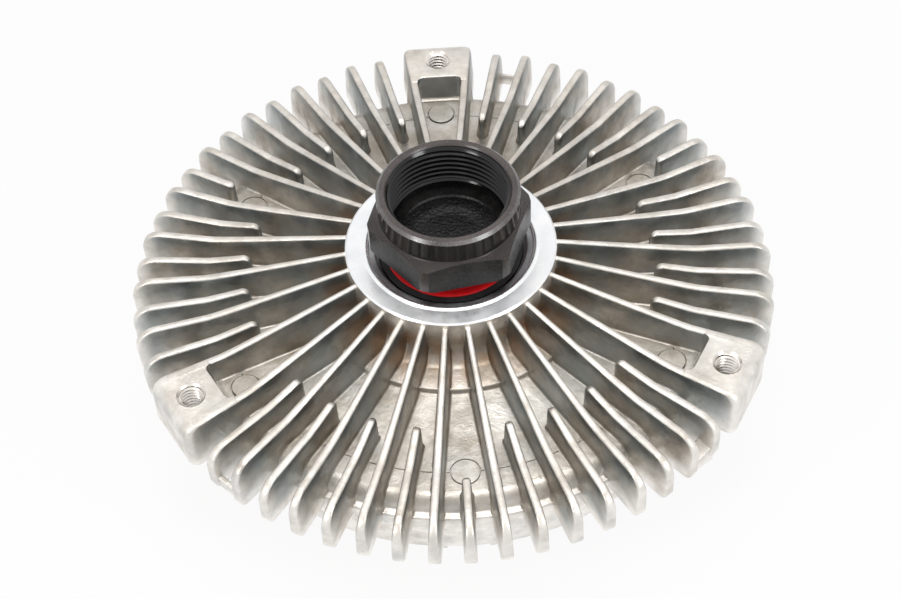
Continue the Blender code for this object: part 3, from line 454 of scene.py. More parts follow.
class Finish(Tree):
    """Short calls for building one material."""

    def __init__(self, name):
        self.material = bpy.data.materials.new(name)
        self.material.use_nodes = True
        super().__init__(self.material.node_tree)
        self.shader = self.tree.nodes["Principled BSDF"]
        self.place = self.node("ShaderNodeTexCoord", {}, "Object")
        self.normal = self.node("ShaderNodeTexCoord", {}, "Normal")

    def noise(self, scale, detail=3.0, roughness=0.55, stretch=None):
        place = self.place
        if stretch:
            place = self.node("ShaderNodeMapping", {"Vector": place, "Scale": stretch})
        feeds = {"Vector": place, "Scale": scale, "Detail": detail, "Roughness": roughness}
        return self.node("ShaderNodeTexNoise", feeds)

    def ramp(self, source, places, values=(0.0, 1.0)):
        """Maps a value in a straight line from one range to another, and clamps it there."""
        names = ("From Min", "From Max", "To Min", "To Max")
        return self.node("ShaderNodeMapRange", {"Value": source, **dict(zip(names, (*places, *values)))})

    def patches(self, scale, detail, places=MOST_NOISE, values=(0.0, 1.0), roughness=0.55):
        """Noise whose range between two places is spread over two values."""
        return self.ramp(self.noise(scale, detail, roughness), places, values)

    def vector(self, operation, feeds, output=0):
        return self.node("ShaderNodeVectorMath", feeds, output, operation=operation)

    def part(self, vector, axis):
        """One coordinate of a vector socket."""
        return self.node("ShaderNodeSeparateXYZ", {0: vector}, axis)

    def radius(self):
        """Distance from the Z axis, in metres."""
        flat = self.vector("MULTIPLY", {0: self.place, 1: (1, 1, 0)})
        return self.vector("LENGTH", {0: flat}, "Value")

    def from_axis(self, start, end, values=(0.0, 1.0)):
        """Maps the distance from the Z axis, in millimetres."""
        return self.ramp(self.radius(), (start * MM, end * MM), values)

    def from_floor(self, start, end, values=(0.0, 1.0)):
        """Maps the height, in millimetres."""
        return self.ramp(self.part(self.place, "Z"), (start * MM, end * MM), values)

    def upright(self):
        """1 on walls, 0 on faces that look up or down."""
        facing = self.maths("ABSOLUTE", self.part(self.normal, "Z"), 0.0)
        return self.ramp(facing, (0.25, 0.75), (1.0, 0.0))

    def faces_axis(self):
        """1 on walls that face the Z axis, 0 on the rest."""
        outward = self.vector("DOT_PRODUCT", {0: self.normal, 1: self.place}, "Value")
        return self.ramp(self.maths("DIVIDE", outward, self.radius()), (-0.5, -0.9))

    def fin_level(self):
        """How far up a point is from the plate, 0, to the fins' crests at its radius, 1."""
        inward = self.from_axis(FIN_FLAT_START, BOSS_RADIUS)
        crest_range = (FIN_TOP * MM, (FIN_TOP + FIN_RISE) * MM)
        crest_height = self.ramp(self.maths("POWER", inward, FIN_SWEEP), (0.0, 1.0), crest_range)
        rise = self.maths("SUBTRACT", self.part(self.place, "Z"), PLATE * MM)
        return self.maths("DIVIDE", rise, self.maths("SUBTRACT", crest_height, PLATE * MM))

    def rings(self, scale, detail):
        """Fine concentric marks left by a lathe tool."""
        feeds = {"W": self.radius(), "Scale": scale, "Detail": detail}
        return self.node("ShaderNodeTexNoise", feeds, noise_dimensions="1D")

    def spots(self, scale, size):
        """1 inside small scattered spots, 0 elsewhere."""
        distance = self.node("ShaderNodeTexVoronoi", {"Vector": self.place, "Scale": scale}, "Distance")
        return self.ramp(distance, (0.0, size), (1.0, 0.0))

    def mix(self, factor, first, second):
        """Mixes two colours, each a socket or a plain colour."""
        feeds = {"Factor": factor, MIX_FIRST: first, MIX_SECOND: second}
        return self.node("ShaderNodeMix", feeds, MIX_RESULT, data_type="RGBA")

    def bump(self, *layers):
        """Stacks (height, depth in millimetres, strength) layers and ends at the shader's normal."""
        stacked = {}
        for height, depth, strength in layers:
            feeds = {"Height": height, "Distance": depth * MM, "Strength": strength, **stacked}
            stacked = {"Normal": self.node("ShaderNodeBump", feeds)}
        self.feed(self.shader.inputs["Normal"], stacked["Normal"])

    def finish(self, colour, roughness, metallic, **plain):
        """Feeds the shader and gives the material. Plain settings name their sockets with _ for a space."""
        values = {"Base_Color": colour, "Roughness": roughness, "Metallic": metallic, **plain}
        for name, value in values.items():
            self.feed(self.shader.inputs[name.replace("_", " ")], value)
        return self.material


def cast_metal(name, light, dark, tint, rough=(0.34, 0.54)):
    """Die cast aluminium: blotchy tans, a painted cool shade that darkens the walls, browner feet, and a
    painted highlight on crests and ends.
    """
    n = Finish(name)
    colour = n.mix(n.patches(140, 6, (0.36, 0.64), roughness=0.7), light, dark)

    # Walls of the fins: a painted cool shade, and a darker painted shade that grows upwards and fills the
    # walls that face the axis
    level = n.fin_level()
    on_fins = n.from_axis(BOSS_RADIUS + 0.1, BOSS_RADIUS + 0.5)
    wall = n.times(n.upright(), on_fins)
    painted_cool_shade = n.times(n.patches(60, 4, (0.42, 0.62), (0.0, 0.85)), n.ramp(wall, (0.0, 1.0), (0.25, 1.0)))
    colour = n.mix(painted_cool_shade, colour, tint)
    painted_wall_shade = n.times(n.ramp(level, (0.15, 0.85), (0.05, 1.0)),
                   n.patches(150, 4, (0.34, 0.6), (0.2, 1.0), 0.6))
    painted_wall_shade = n.larger(painted_wall_shade, n.faces_axis())
    colour = n.mix(n.times(wall, painted_wall_shade), colour, tuple(PAINTED_WALL_DARKNESS * value for value in tint))

    # Browner, darker colour round the foot of the boss
    foot = n.times(n.from_axis(STEP_RADIUS + 1.0, BOSS_RADIUS + 2.0), n.from_floor(FOOT_TOP + 3.0, FOOT_TOP))
    colour = n.mix(n.times(foot, n.patches(190, 4, (0.4, 0.6), (0.15, 0.8), 0.6)), colour, BOSS_FOOT_BROWN)

    # Painted highlight: near white metal on the drum, on the fins' outer ends and crests, and round the top
    # of the boss
    low_end = n.from_floor(PLATE - 1.0, PLATE - 4.5)
    far_end = n.from_axis(FIN_OUTER - 4.0, FIN_OUTER - 0.3, (0.0, 0.8))
    crests = n.times(n.ramp(level, (0.6, 0.8), (0.0, 0.3)), n.rest_of(n.upright()))
    boss = n.times(n.rest_of(on_fins), n.from_floor(FOOT_TOP + 1.0, FOOT_TOP + 4.0, (0.0, 0.9)))
    painted_light = n.larger(n.larger(low_end, far_end), n.larger(crests, boss))
    colour = n.mix(n.times(painted_light, n.patches(210, 4, (0.35, 0.62), (0.45, 1.0), 0.6)), colour, PAINTED_LIGHT_METAL)

    pits = n.spots(520, 0.16)
    colour = n.mix(n.times(pits, n.patches(60, 2, (0.45, 0.65), (0.0, 0.8))), colour, dark)
    flow = n.noise(330, 4, 0.6)
    grain = n.noise(1600, 3, 0.6)
    n.bump((flow, 0.2, 0.8), (grain, 0.05, 0.8), (pits, -0.06, 0.5))
    return n.finish(colour, n.patches(170, 3, values=rough), 1.0)


def turned_metal(name, colour, worn, rough, marks=0.004):
    """Machined aluminium or steel: bright, with concentric tool marks and light handling wear."""
    n = Finish(name)
    shade = n.mix(n.patches(130, 3, (0.35, 0.7)), colour, worn)
    n.bump((n.rings(9000, 3), marks, 0.8), (n.noise(3200, 2), marks, 0.3))
    lathe = n.node("ShaderNodeTangent", {}, direction_type="RADIAL", axis="Z")
    return n.finish(shade, n.patches(300, 3, values=rough), 1.0, Tangent=lathe, Anisotropic=0.6,
                    Anisotropic_Rotation=0.25)


def black_steel(suffix, base, grey, rough, grain, gloss, streaks=False):
    """Blackened steel with an oily sheen and a fine grain, given by its scale and depth."""
    n = Finish("black_oxide" + suffix)
    speckle = n.patches(2300, 3, (0.56, 0.68), (0.0, 0.9), 0.7)
    wear = n.patches(110, 4, (0.4, 0.75), (0.0, 0.6), 0.6)
    colour = n.mix(speckle, n.mix(wear, base, grey), grey)
    layers = [(n.noise(grain[0], 3, 0.65), grain[1], 0.8)]
    if streaks:
        lines = n.noise(900, 2, 0.5, stretch=(1, 1, 0.05))
        colour = n.mix(n.ramp(lines, (0.5, 0.7), (0.0, 0.7)), colour, grey)
        layers.append((lines, 0.02, 0.5))
    n.bump(*layers)
    return n.finish(colour, n.patches(240, 3, values=rough), 0.0, Specular_IOR_Level=gloss)


def moulded_rubber(name, colour, dusty, rough):
    """Seal rubber with a slightly uneven skin."""
    n = Finish(name)
    shade = n.mix(n.patches(300, 3, (0.4, 0.7), (0.0, 0.7)), colour, dusty)
    n.bump((n.noise(1800, 3), 0.02, 0.5), (n.noise(160, 2), 0.05, 0.3))
    return n.finish(shade, n.patches(400, 2, values=rough), 0.0)


def rolled_strip(name, colour, heat, rough):
    """Rolled bimetal strip: straw to brown heat tints and fine lines along its length."""
    n = Finish(name)
    shade = n.mix(n.patches(120, 3, (0.35, 0.7)), colour, heat)
    n.bump((n.noise(1400, 2, 0.5, stretch=(0.2, 0.2, 4)), 0.01, 0.6))
    return n.finish(shade, n.patches(500, 2, values=rough), 1.0)


# The third colour of each casting is the walls' painted cool shade
CAST = cast_metal("cast_aluminium_rear", (0.645, 0.605, 0.55), (0.41, 0.365, 0.31), (0.48, 0.515, 0.52))
CAST_FRONT = cast_metal("cast_aluminium_front", (0.61, 0.57, 0.52), (0.41, 0.36, 0.31), (0.45, 0.465, 0.48))
MACHINED = turned_metal("machined_aluminium", (0.96, 0.96, 0.96), (0.82, 0.84, 0.87), (0.25, 0.34))
BEARING_FACE = turned_metal("ground_steel", (0.34, 0.34, 0.35), (0.22, 0.22, 0.23), (0.3, 0.42))
THREADED = turned_metal("tapped_aluminium", (0.86, 0.82, 0.77), (0.68, 0.63, 0.58), (0.22, 0.34), 0.01)
# Dark brown roots for the lugs' threads: painted shade between the turns
SHADED_THREAD_ROOT = turned_metal("thread_root_painted_shade", (0.18, 0.15, 0.125), (0.11, 0.09, 0.075), (0.4, 0.55), 0.01)
STAMPED = turned_metal("stamped_steel", (0.52, 0.51, 0.50), (0.42, 0.41, 0.40), (0.28, 0.42), 0.006)
BLACK = black_steel("", (0.005, 0.005, 0.005), (0.06, 0.056, 0.053), (0.22, 0.36), (1900, 0.04), 0.2)
BLACK_TURNED = black_steel(
    "_turned", (0.004, 0.004, 0.004), (0.014, 0.013, 0.012), (0.1, 0.2), (2600, 0.008), 0.3, streaks=True)
BLACK_CONE = black_steel(
    "_cone", (0.022, 0.017, 0.015), (0.07, 0.056, 0.05), (0.16, 0.28), (2200, 0.02), 0.4)
BLACK_WORN = black_steel(
    "_worn", (0.05, 0.04, 0.037), (0.13, 0.105, 0.095), (0.18, 0.3), (2200, 0.02), 0.6)
# The collar's top chamfer: worn edge, its lighter grey partly a painted highlight
BLACK_WORN_EDGE_AND_HIGHLIGHT = black_steel(
    "_edge", (0.03, 0.026, 0.024), (0.22, 0.20, 0.19), (0.22, 0.36), (1500, 0.02), 1.0)
BLACK_BORE = black_steel(
    "_forged", (0.002, 0.002, 0.002), (0.035, 0.033, 0.032), (0.16, 0.3), (1500, 0.2), 0.35)
BLACK_THREAD = black_steel(
    "_thread", (0.004, 0.004, 0.004), (0.012, 0.012, 0.012), (0.1, 0.18), (2600, 0.008), 0.4)
SEAL_RED = moulded_rubber("red_seal_rubber", (0.72, 0.004, 0.008), (0.55, 0.004, 0.006), (0.45, 0.6))
RUBBER = moulded_rubber("black_rubber", (0.012, 0.012, 0.012), (0.025, 0.024, 0.023), (0.5, 0.7))
BIMETAL = rolled_strip("bimetal_strip", (0.62, 0.54, 0.43), (0.42, 0.33, 0.25), (0.22, 0.36))


# Casting

def housing_outline():
    """Outer half section of the casting, from the boss wall out to the rolled rim."""
    ledge_start = SHOULDER_START + SHOULDER_ROUND
    foot_turns = [math.pi / 2 * i / FOOT_STEPS for i in range(1, FOOT_STEPS + 1)]
    return [
        (BOSS_RADIUS, BOSS_TOP - BOSS_CHAMFER),
        (BOSS_RADIUS, FOOT_TOP),
        *[(BOSS_RADIUS + FOOT_SPREAD * (1 - math.cos(turn)), FOOT_TOP - FOOT_HEIGHT * math.sin(turn))
          for turn in foot_turns],
        *arc(STEP_RADIUS - STEP_ROUND, STEP_TOP - STEP_ROUND, STEP_ROUND, 90, 0, 3),
        *arc(STEP_RADIUS + STEP_FILLET, PLATE + STEP_FILLET, STEP_FILLET, 180, 270, 3),
        (SPLIT_RADIUS - SPLIT_HALF, PLATE), (SPLIT_RADIUS, PLATE - SPLIT_DEPTH),
        (SPLIT_RADIUS + SPLIT_HALF, PLATE),
        *arc(SHOULDER_START, LEDGE, SHOULDER_ROUND, 90, 12, 10),
        *arc(ledge_start + LEDGE_FILLET, LEDGE + LEDGE_FILLET, LEDGE_FILLET, 190, 270, 3),
        *arc(DRUM_RADIUS - DRUM_ROUND, LEDGE - DRUM_ROUND, DRUM_ROUND, 90, 5, 4),
    ]


def shell_profile():
    """Closed half section of the casting: stake, boss, plate, drum, rolled rim, chamber and bearing seat."""
    lip_top = RIM_LOW + LIP_THICKNESS
    seat = BEARING_LOW - SEAT_GAP
    drum_taper = (DRUM_RADIUS - RIM_RADIUS) / (LEDGE - RIM_LOW)
    return [
        (STAKE_CENTRE - STAKE_CURVE + 0.05, BEARING_TOP + SEAT_GAP),
        *arc(STAKE_CENTRE, BOSS_TOP + STAKE_CREST - STAKE_CURVE, STAKE_CURVE, 165, 45, 10),
        (STAKE_CENTRE + 0.84 * STAKE_CURVE, BOSS_TOP), (BOSS_RADIUS - BOSS_CHAMFER, BOSS_TOP),
        *housing_outline(),
        (RIM_RADIUS + drum_taper * RIM_ROUND, RIM_LOW + RIM_ROUND),
        *arc(RIM_RADIUS - RIM_ROUND + 0.1, RIM_LOW + RIM_ROUND, RIM_ROUND, 0, -90, 5),
        *arc(LIP_RADIUS + LIP_ROUND, RIM_LOW + LIP_ROUND, LIP_ROUND, 270, 180, 4),
        (LIP_RADIUS, lip_top), (COVER_RADIUS + SEAT_GAP, lip_top),
        (COVER_RADIUS + SEAT_GAP, COVER_TOP + SEAT_GAP), (CHAMBER_RADIUS, COVER_TOP + SEAT_GAP),
        (CHAMBER_RADIUS, CEILING), (SHAFT_BORE + BORE_FLARE, CEILING),
        (SHAFT_BORE, seat - SEAT_WALL), (SHAFT_BORE, seat),
        (SEAT_RADIUS, seat), (SEAT_RADIUS, BEARING_TOP + SEAT_GAP),
    ]


def crest(r):
    """Height of a long fin's crest, which sweeps up towards the boss."""
    inward = np.clip((FIN_FLAT_START - np.asarray(r, float)) / (FIN_FLAT_START - BOSS_RADIUS), 0, None)
    return FIN_TOP + FIN_RISE * inward**FIN_SWEEP


def fin_half(z):
    """Half the thickness of a drafted fin at a height."""
    return FIN_TIP / 2 + (FIN_TOP + FIN_RISE - z) * FIN_DRAFT


def fin_end(top, outer):
    """Outline of a fin's outer end, from its crest's end round to its underside at the drum."""
    foot = outer - FIN_TOE_BACK
    corner = arc(outer - FIN_CORNER, top - FIN_CORNER, FIN_CORNER, 90, 0, 12)
    toe = arc(foot - FIN_TOE, FIN_BOTTOM + FIN_TOE, FIN_TOE, 0, -90, 6)
    return corner, [corner[-1], *toe], [toe[-1], (DRUM_RADIUS - FIN_ROOT, FIN_BOTTOM)]


def fin_runs(start, drop, nose, outer):
    """Pairs of matching stretches of a fin's free edge and of the surface that it stands on."""
    outline = housing_outline()
    ground = np.array(outline[2:])
    top = FIN_TOP - drop
    corner, end, under = fin_end(top, outer)
    flat_end = corner[0][0]
    sunk = np.array([0.0, -SUNK])

    def ground_at(r):
        return np.stack([r, np.interp(r, ground[:, 0], ground[:, 1])], axis=-1)

    runs = []
    inner = start
    if nose:
        z_nose = float(crest(start + nose)) - drop
        rise = [(start, PLATE - SUNK), (start + NOSE_LEAN, z_nose - nose)]
        inner = start + NOSE_LEAN + nose
        bend = arc(inner, z_nose - nose, nose, 180, 90, 9)
        reach = start + NOSE_ROUND
        under_nose = reach - NOSE_ROUND * np.cos(np.linspace(0.2, math.pi / 2, 9))
        runs.append((resample(rise, 9), ground_at(under_nose) + sunk))
        runs.append((np.array(bend), ground_at(np.linspace(reach, inner, len(bend))) + sunk))
    if inner < SHOULDER_START:
        stations = np.linspace(inner, SHOULDER_START, 26)
        if not nose:
            # Closer together where the ground bends
            stations = np.concatenate([
                [inner], np.linspace(BOSS_RADIUS + 0.3, STEP_RADIUS - 1, 9),
                [STEP_RADIUS - STEP_ROUND, STEP_RADIUS + 0.1, STEP_RADIUS + 0.8],
                np.linspace(STEP_RADIUS + 3, SHOULDER_START, 16),
            ])
        runs.append((np.stack([stations, crest(stations) - drop], axis=1), ground_at(stations) + sunk))
        inner = SHOULDER_START
    outward = np.array([-SUNK, -SUNK])
    shoulder = np.array([p for p in outline if p[0] >= inner - TINY and p[1] < PLATE - TINY])
    shoulder = np.concatenate([[ground_at(np.array(inner))], shoulder])
    crest_run = [(inner, float(crest(inner)) - drop), (flat_end, top)]
    runs.append((resample(crest_run, 10), resample(shoulder, 10) + outward))
    wall = np.array([shoulder[-1], (DRUM_RADIUS - 0.7, FIN_BOTTOM + 0.8)]) + outward
    outside = np.concatenate([corner, end[1:]])
    runs.append((outside, resample(wall, len(outside))))
    low = np.array([wall[-1], (DRUM_RADIUS - FIN_ROOT, FIN_BOTTOM + 0.05)])
    runs.append((resample(under, 5), resample(low, 5)))
    return runs


def fin_body(start, drop=0.0, nose=0.0, outer=FIN_OUTER):
    """Vertices and faces of one closed fin along +X, filleted to the surface it stands on."""
    edge, base = [], []
    for top_run, base_run in fin_runs(start, drop, nose, outer):
        skip = 1 if edge else 0
        edge += list(top_run[skip:])
        base += list(base_run[skip:])
    edge, base = np.array(edge), np.array(base)
    length = np.linalg.norm(base - edge, axis=1)
    reach = np.maximum(length, 1e-9)
    near_top = FIN_EDGE * np.array([0.0, 0.13, 0.5, 1.0])
    near_base = np.append(FIN_FILLET * np.array([1.0, 0.62, 0.32, 0.1, 0.0]) + SUNK, 0.0)
    span = near_top[-1] + near_base[0] + 0.4
    shrink = np.minimum(1.0, length / span)
    rows = [shrink * value / reach for value in near_top]
    upper, lower = rows[-1], 1 - shrink * near_base[0] / reach
    rows += [upper + (lower - upper) * share for share in (0.33, 0.66)]
    rows += [1 - shrink * value / reach for value in near_base]
    share = np.stack(rows, axis=1)
    points = edge[:, None] * (1 - share[..., None]) + base[:, None] * share[..., None]
    surface = np.array(housing_outline()[2:] + [(RIM_RADIUS, RIM_LOW)])
    flare = fallback(FIN_FILLET, distance_to(surface, points))
    # The last row is buried in the casting
    flare[:, -1] = FIN_FILLET * 0.8
    side = fin_half(points[..., 1]) + flare - fallback(FIN_EDGE, distance_to(edge, points))
    if nose:
        short = np.clip(1 - (points[..., 0] - start) / NOSE_ROUND, 0, 1)
        side = side * np.sqrt(1 - short**2)
    return mirrored_body(points, side)


def make_fins():
    """The casting's cooling fins: long ones beside and between the lugs, short ones among them."""
    long_body = fin_body(BOSS_RADIUS - 0.3)
    short_body = fin_body(SHORT_START, SHORT_DROP, SHORT_NOSE)
    stub_body = fin_body(STUB_START, SHORT_DROP, STUB_NOSE)
    lug_body = fin_body(BOSS_RADIUS - 0.3, outer=LUG_FIN_OUTER)
    half_way = FINS_PER_LUG // 2
    bodies = []
    for lug in LUG_ANGLES:
        bodies += around(long_body, [lug + (k + 0.5) * FIN_PITCH for k in range(1, FINS_PER_LUG - 1)])
        bodies += around(lug_body, [lug - FIN_PITCH / 2, lug + FIN_PITCH / 2])
        bodies += around(short_body, [lug + k * FIN_PITCH for k in range(1, FINS_PER_LUG) if k != half_way])
        bodies += around(stub_body, [lug + half_way * FIN_PITCH])
    return make_piece("casting_fins", [CAST], *bodies)


def make_shell():
    """The turned body of the casting, with its ejector marks."""

    def finish_at(r, z):
        return int(z > BEARING_TOP + SEAT_GAP and r < BOSS_RADIUS - 0.1)

    body = turned_body(shell_profile(), SHELL_SEGMENTS, finish_at)
    shell = make_piece("casting_shell", [CAST, MACHINED], body)
    inner = MARK_RADIUS - MARK_GROOVE
    low, high = PLATE - MARK_DEPTH, PLATE + 1.0
    section = [(inner, low), (MARK_RADIUS, low), (MARK_RADIUS, high), (inner, high)]
    groove = turned_body(section, SMALL_SEGMENTS)
    grooves, discs = [], []
    for pitch, rise, angles in ((MARK_PITCH, MARK_RISE, MARK_ANGLES),
                                (MARK_PITCH_IN_LUG, MARK_RISE_IN_LUG, LUG_ANGLES)):
        top = PLATE + rise
        section = [(0, low), (inner, low), (inner, top - 0.07), (inner - 0.1, top), (0, top)]
        disc = turned_body(section, SMALL_SEGMENTS)
        grooves += around(groove, angles, pitch)
        discs += around(disc, angles, pitch)
    cut(shell, CAST, grooves)
    return shell, make_piece("ejector_marks", [CAST], *discs)


LUG_FIN_WIDTH = 2 * fin_half(LUG_TOP)
LUG_MIDDLE = LUG_WALL * math.tan(math.radians(FIN_PITCH / 2)) + fin_half(LUG_TOP)


def lug_section(inset, soft, shy):
    """Radius and height of a lug's outline points in one upright plane across it.

    inset moves the pocket's wall inwards, soft lowers the top and shy draws the outer face in.
    """
    wall = LUG_WALL - inset
    wall_foot = wall - LUG_WALL_SLOPE - LUG_FILLET
    z_low = FIN_BOTTOM + 0.5
    z_top = LUG_TOP - soft
    outer = FIN_OUTER - shy
    return [
        (SHOULDER_START + 0.5, z_low), (SHOULDER_START + 0.5, PLATE - 0.5),
        (min(wall_foot, LUG_WALL), PLATE - 0.5),
        *arc(wall_foot, PLATE + LUG_FILLET, LUG_FILLET, 270, 350, 5),
        *arc(wall + LUG_EDGE, z_top - LUG_EDGE, LUG_EDGE, 170, 90, 3),
        *arc(outer - LUG_CORNER, z_top - LUG_CORNER, LUG_CORNER, 90, 0, 10),
        *arc(outer - LUG_TOE, z_low + LUG_TOE, LUG_TOE, 0, -90, 3),
    ]


def lug_row(distance, side):
    """Points of a lug's outline at a distance in from its flank, on one side of its middle."""
    turn = math.radians(FIN_PITCH / 2)
    inset = fallback(LUG_POCKET_ROUND, distance - LUG_FIN_WIDTH)
    section = lug_section(inset, fallback(FIN_EDGE, distance), fallback(LUG_PLAN_ROUND, distance))
    r, z = np.array(section).T
    # The flank dips just below the fin's side where the block begins, and covers it further out
    cover = np.interp(r, (LUG_WALL, LUG_WALL + LUG_COVER_RUN), LUG_COVER)
    flank = r * math.tan(turn) + (fin_half(z) + cover) / math.cos(turn)
    return np.stack([r, side * flank * (1 - distance / LUG_MIDDLE), z], axis=1)


def make_lugs():
    """The fan lugs: blocks that hold two long fins together, each with a countersunk threaded hole."""
    distances = [0.0, 0.05, 0.18, 0.4, 0.8, 1.3, 1.8, LUG_FIN_WIDTH]
    distances += [LUG_FIN_WIDTH + LUG_POCKET_ROUND * share for share in (0.06, 0.2, 0.42, 0.7, 1.0)]
    rows = [lug_row(distance, 1) for distance in (*distances, LUG_MIDDLE)]
    rows += [lug_row(distance, -1) for distance in reversed(distances)]
    lugs = make_piece("fan_lugs", [CAST, THREADED], *around(bar_body(rows), LUG_ANGLES))
    sink = 2 * LUG_SINK_RADIUS - LUG_THREAD_RADIUS
    low, high = LUG_TOP - LUG_SINK_DEPTH, LUG_TOP + LUG_SINK_DEPTH
    end = FIN_BOTTOM - 2
    section = [(0, end), (LUG_THREAD_RADIUS, end), (LUG_THREAD_RADIUS, low), (sink, high), (0, high)]
    hole = turned_body(section, SMALL_SEGMENTS)
    cut(lugs, THREADED, around(hole, LUG_ANGLES, LUG_HOLE_PITCH))
    thread = thread_tube(
        LUG_HOLE_RADIUS, LUG_THREAD_RADIUS - 0.02, LUG_THREAD_PITCH, FIN_BOTTOM + 1.0, low - 0.05,
        LUG_THREAD_RADIUS + 0.4, 36, 0.3)
    threads = around(thread, LUG_ANGLES, LUG_HOLE_PITCH)
    # The threads' roots take the darker finish, painted shade between the turns
    return lugs, make_piece("lug_threads", [THREADED, SHADED_THREAD_ROOT], *threads)


def thread_tube(minor, major, pitch, z_low, z_high, outer, segments, fade):
    """Vertices, faces and slots of a sleeve with a helical thread inside, its roots in slot 1.

    The thread runs out over a length of fade at both ends.
    """
    form = np.array([0.0, 0.14, 0.46, 0.68])
    turns = int(math.ceil((z_high - z_low) / pitch)) + 1
    steps = np.concatenate([form + k for k in range(-1, turns)])
    depths = np.tile([0.0, 0.0, 1.0, 1.0], turns + 1)
    angles = np.linspace(0, math.tau, segments + 1)
    z = np.clip(z_low + (steps + angles[:, None] / math.tau) * pitch, z_low, z_high)
    ease = np.clip(np.minimum(z - z_low, z_high - z) / fade, 0, 1)
    r = major - (major - minor) * (1 - depths) * ease
    # The sleeve's outside is one more column at each end
    ends = [(0, 0), (1, 1)]
    r = np.pad(r, ends, constant_values=outer)
    z = np.pad(z, ends, constant_values=[(0, 0), (z_low, z_high)])
    points = turned_points(angles, r, z)
    faces = grid_faces(segments + 1, points.shape[1])
    # Columns of faces repeat after each turn's four points, and the root lies between the last two
    column_slots = [int((j - 1) % len(form) in (2, 3)) for j in range(points.shape[1])]
    return points.reshape(-1, 3), faces, column_slots * segments


def make_gates():
    """The three short webs left between a long and a short fin, one of them torn off low down."""
    r_out = FIN_OUTER - GATE_BACK
    z_top = FIN_TOP - GATE_DROP
    soft = GATE_EDGE
    half = math.tan(math.radians(FIN_PITCH / 4))
    bodies = []
    for angle, height, width in GATES:
        r_in = r_out - width
        slope = 0.25 * (width - GATE_WIDTH)
        rows = []
        for share in (-GATE_SPAN, -0.3, 0.4, GATE_SPAN):
            z_low = z_top - GATE_HEIGHT - (height - GATE_HEIGHT) * (GATE_SPAN + share) / (2 * GATE_SPAN)
            section = [(r_in + soft, z_low + 0.5 * slope), (r_out - soft, z_low), (r_out, z_low + soft),
                       (r_out, z_top - soft), (r_out - soft, z_top), (r_in + soft, z_top + slope),
                       (r_in, z_top + slope - soft), (r_in, z_low + 0.5 * slope + soft)]
            rows.append([(r, share * r * half, z) for r, z in section])
        bodies += around(bar_body(rows), [angle])
    return make_piece("gate_stubs", [CAST], *bodies)


# Hub and bearing

def hub_profile():
    """Half section of the hub with its hexagon still round, and its blind bore."""
    relief = THREAD_MAJOR + 0.1
    undercut = relief + 0.25
    floor = HUB_TOP - BORE_DEPTH
    dish = 0.4
    thread_low = HUB_TOP - THREAD_LENGTH
    low = bottom_of("drive_hub")
    journal_top = BEARING_TOP + SEAT_GAP
    return [
        (0, low), (SHAFT_RADIUS - SHAFT_CHAMFER, low), (SHAFT_RADIUS, low + SHAFT_CHAMFER),
        (SHAFT_RADIUS, journal_top), (SHOULDER_RADIUS, journal_top),
        (SHOULDER_RADIUS, HEX_LOW - 0.4), (SHOULDER_RADIUS + 0.4, HEX_LOW),
        (HEX_CORNER - HEX_FOOT_CHAMFER, HEX_LOW), (HEX_CORNER, HEX_LOW + HEX_FOOT_CHAMFER),
        (HEX_CORNER, HEX_TOP - HEX_CHAMFER_DROP),
        *arc(COLLAR_RADIUS + COLLAR_FILLET, HEX_TOP + 0.1, COLLAR_FILLET, 238, 180, 4),
        (COLLAR_RADIUS, HUB_TOP - COLLAR_CHAMFER), (COLLAR_RADIUS - COLLAR_CHAMFER, HUB_TOP),
        (THREAD_MINOR + BORE_CHAMFER, HUB_TOP), (relief, HUB_TOP - 0.4), (relief, thread_low - 0.8),
        (undercut, thread_low - 1.1), (undercut, floor + 0.4), (relief - 0.2, floor), (9.4, floor),
        (8.4, floor - 0.2 * dish), (7.2, floor - 0.8 * dish), (6.0, floor - dish), (0, floor - dish),
    ]


def make_hub():
    """The black hub: six flats cut from its turned form, and a thread in its bore."""
    base, bore, collar, rim, cone, edge = range(6)

    def finish_at(r, z):
        if r < THREAD_MAJOR + 0.45 and HUB_TOP - BORE_DEPTH - 1 < z < HUB_TOP - 0.2:
            return bore
        # The collar's top chamfer: worn, and lighter grey as a painted highlight
        if z > HUB_TOP - COLLAR_CHAMFER and r > COLLAR_RADIUS - COLLAR_CHAMFER:
            return edge
        if z > HEX_TOP + 0.3 and r > COLLAR_RADIUS - 0.9:
            return collar
        if z > HUB_TOP - 0.3:
            return rim
        if z > HEX_LOW + 1.0 and r > COLLAR_RADIUS:
            return cone
        return base

    hub = make_piece("hub_nut", [BLACK, BLACK_BORE, BLACK_TURNED, BLACK_WORN, BLACK_CONE, BLACK_WORN_EDGE_AND_HIGHLIGHT],
                     turned_body(hub_profile(), RING_SEGMENTS, finish_at))
    corners = [math.radians(HEX_TURN + 60 * i) for i in range(6)]
    low, high = HEX_LOW - 0.2, HEX_TOP + 0.02
    inner, outer = HEX_ACROSS / math.sqrt(3), 2 * HEX_ACROSS
    loops = [(radius * math.cos(turn), radius * math.sin(turn), z)
             for radius, z in ((inner, low), (outer, low), (outer, high), (inner, high)) for turn in corners]
    flats = loops, grid_faces(4, 6, closed=True)
    cut(hub, BLACK, [flats], HEX_SHARP_ANGLE)
    verts, faces, _ = thread_tube(
        THREAD_MINOR, THREAD_MAJOR, THREAD_PITCH, HUB_TOP - THREAD_LENGTH, HUB_TOP - 0.45,
        THREAD_MAJOR + 0.35, RING_SEGMENTS, 1.0)
    return hub, make_piece("hub_thread", [BLACK_THREAD], (verts, faces))


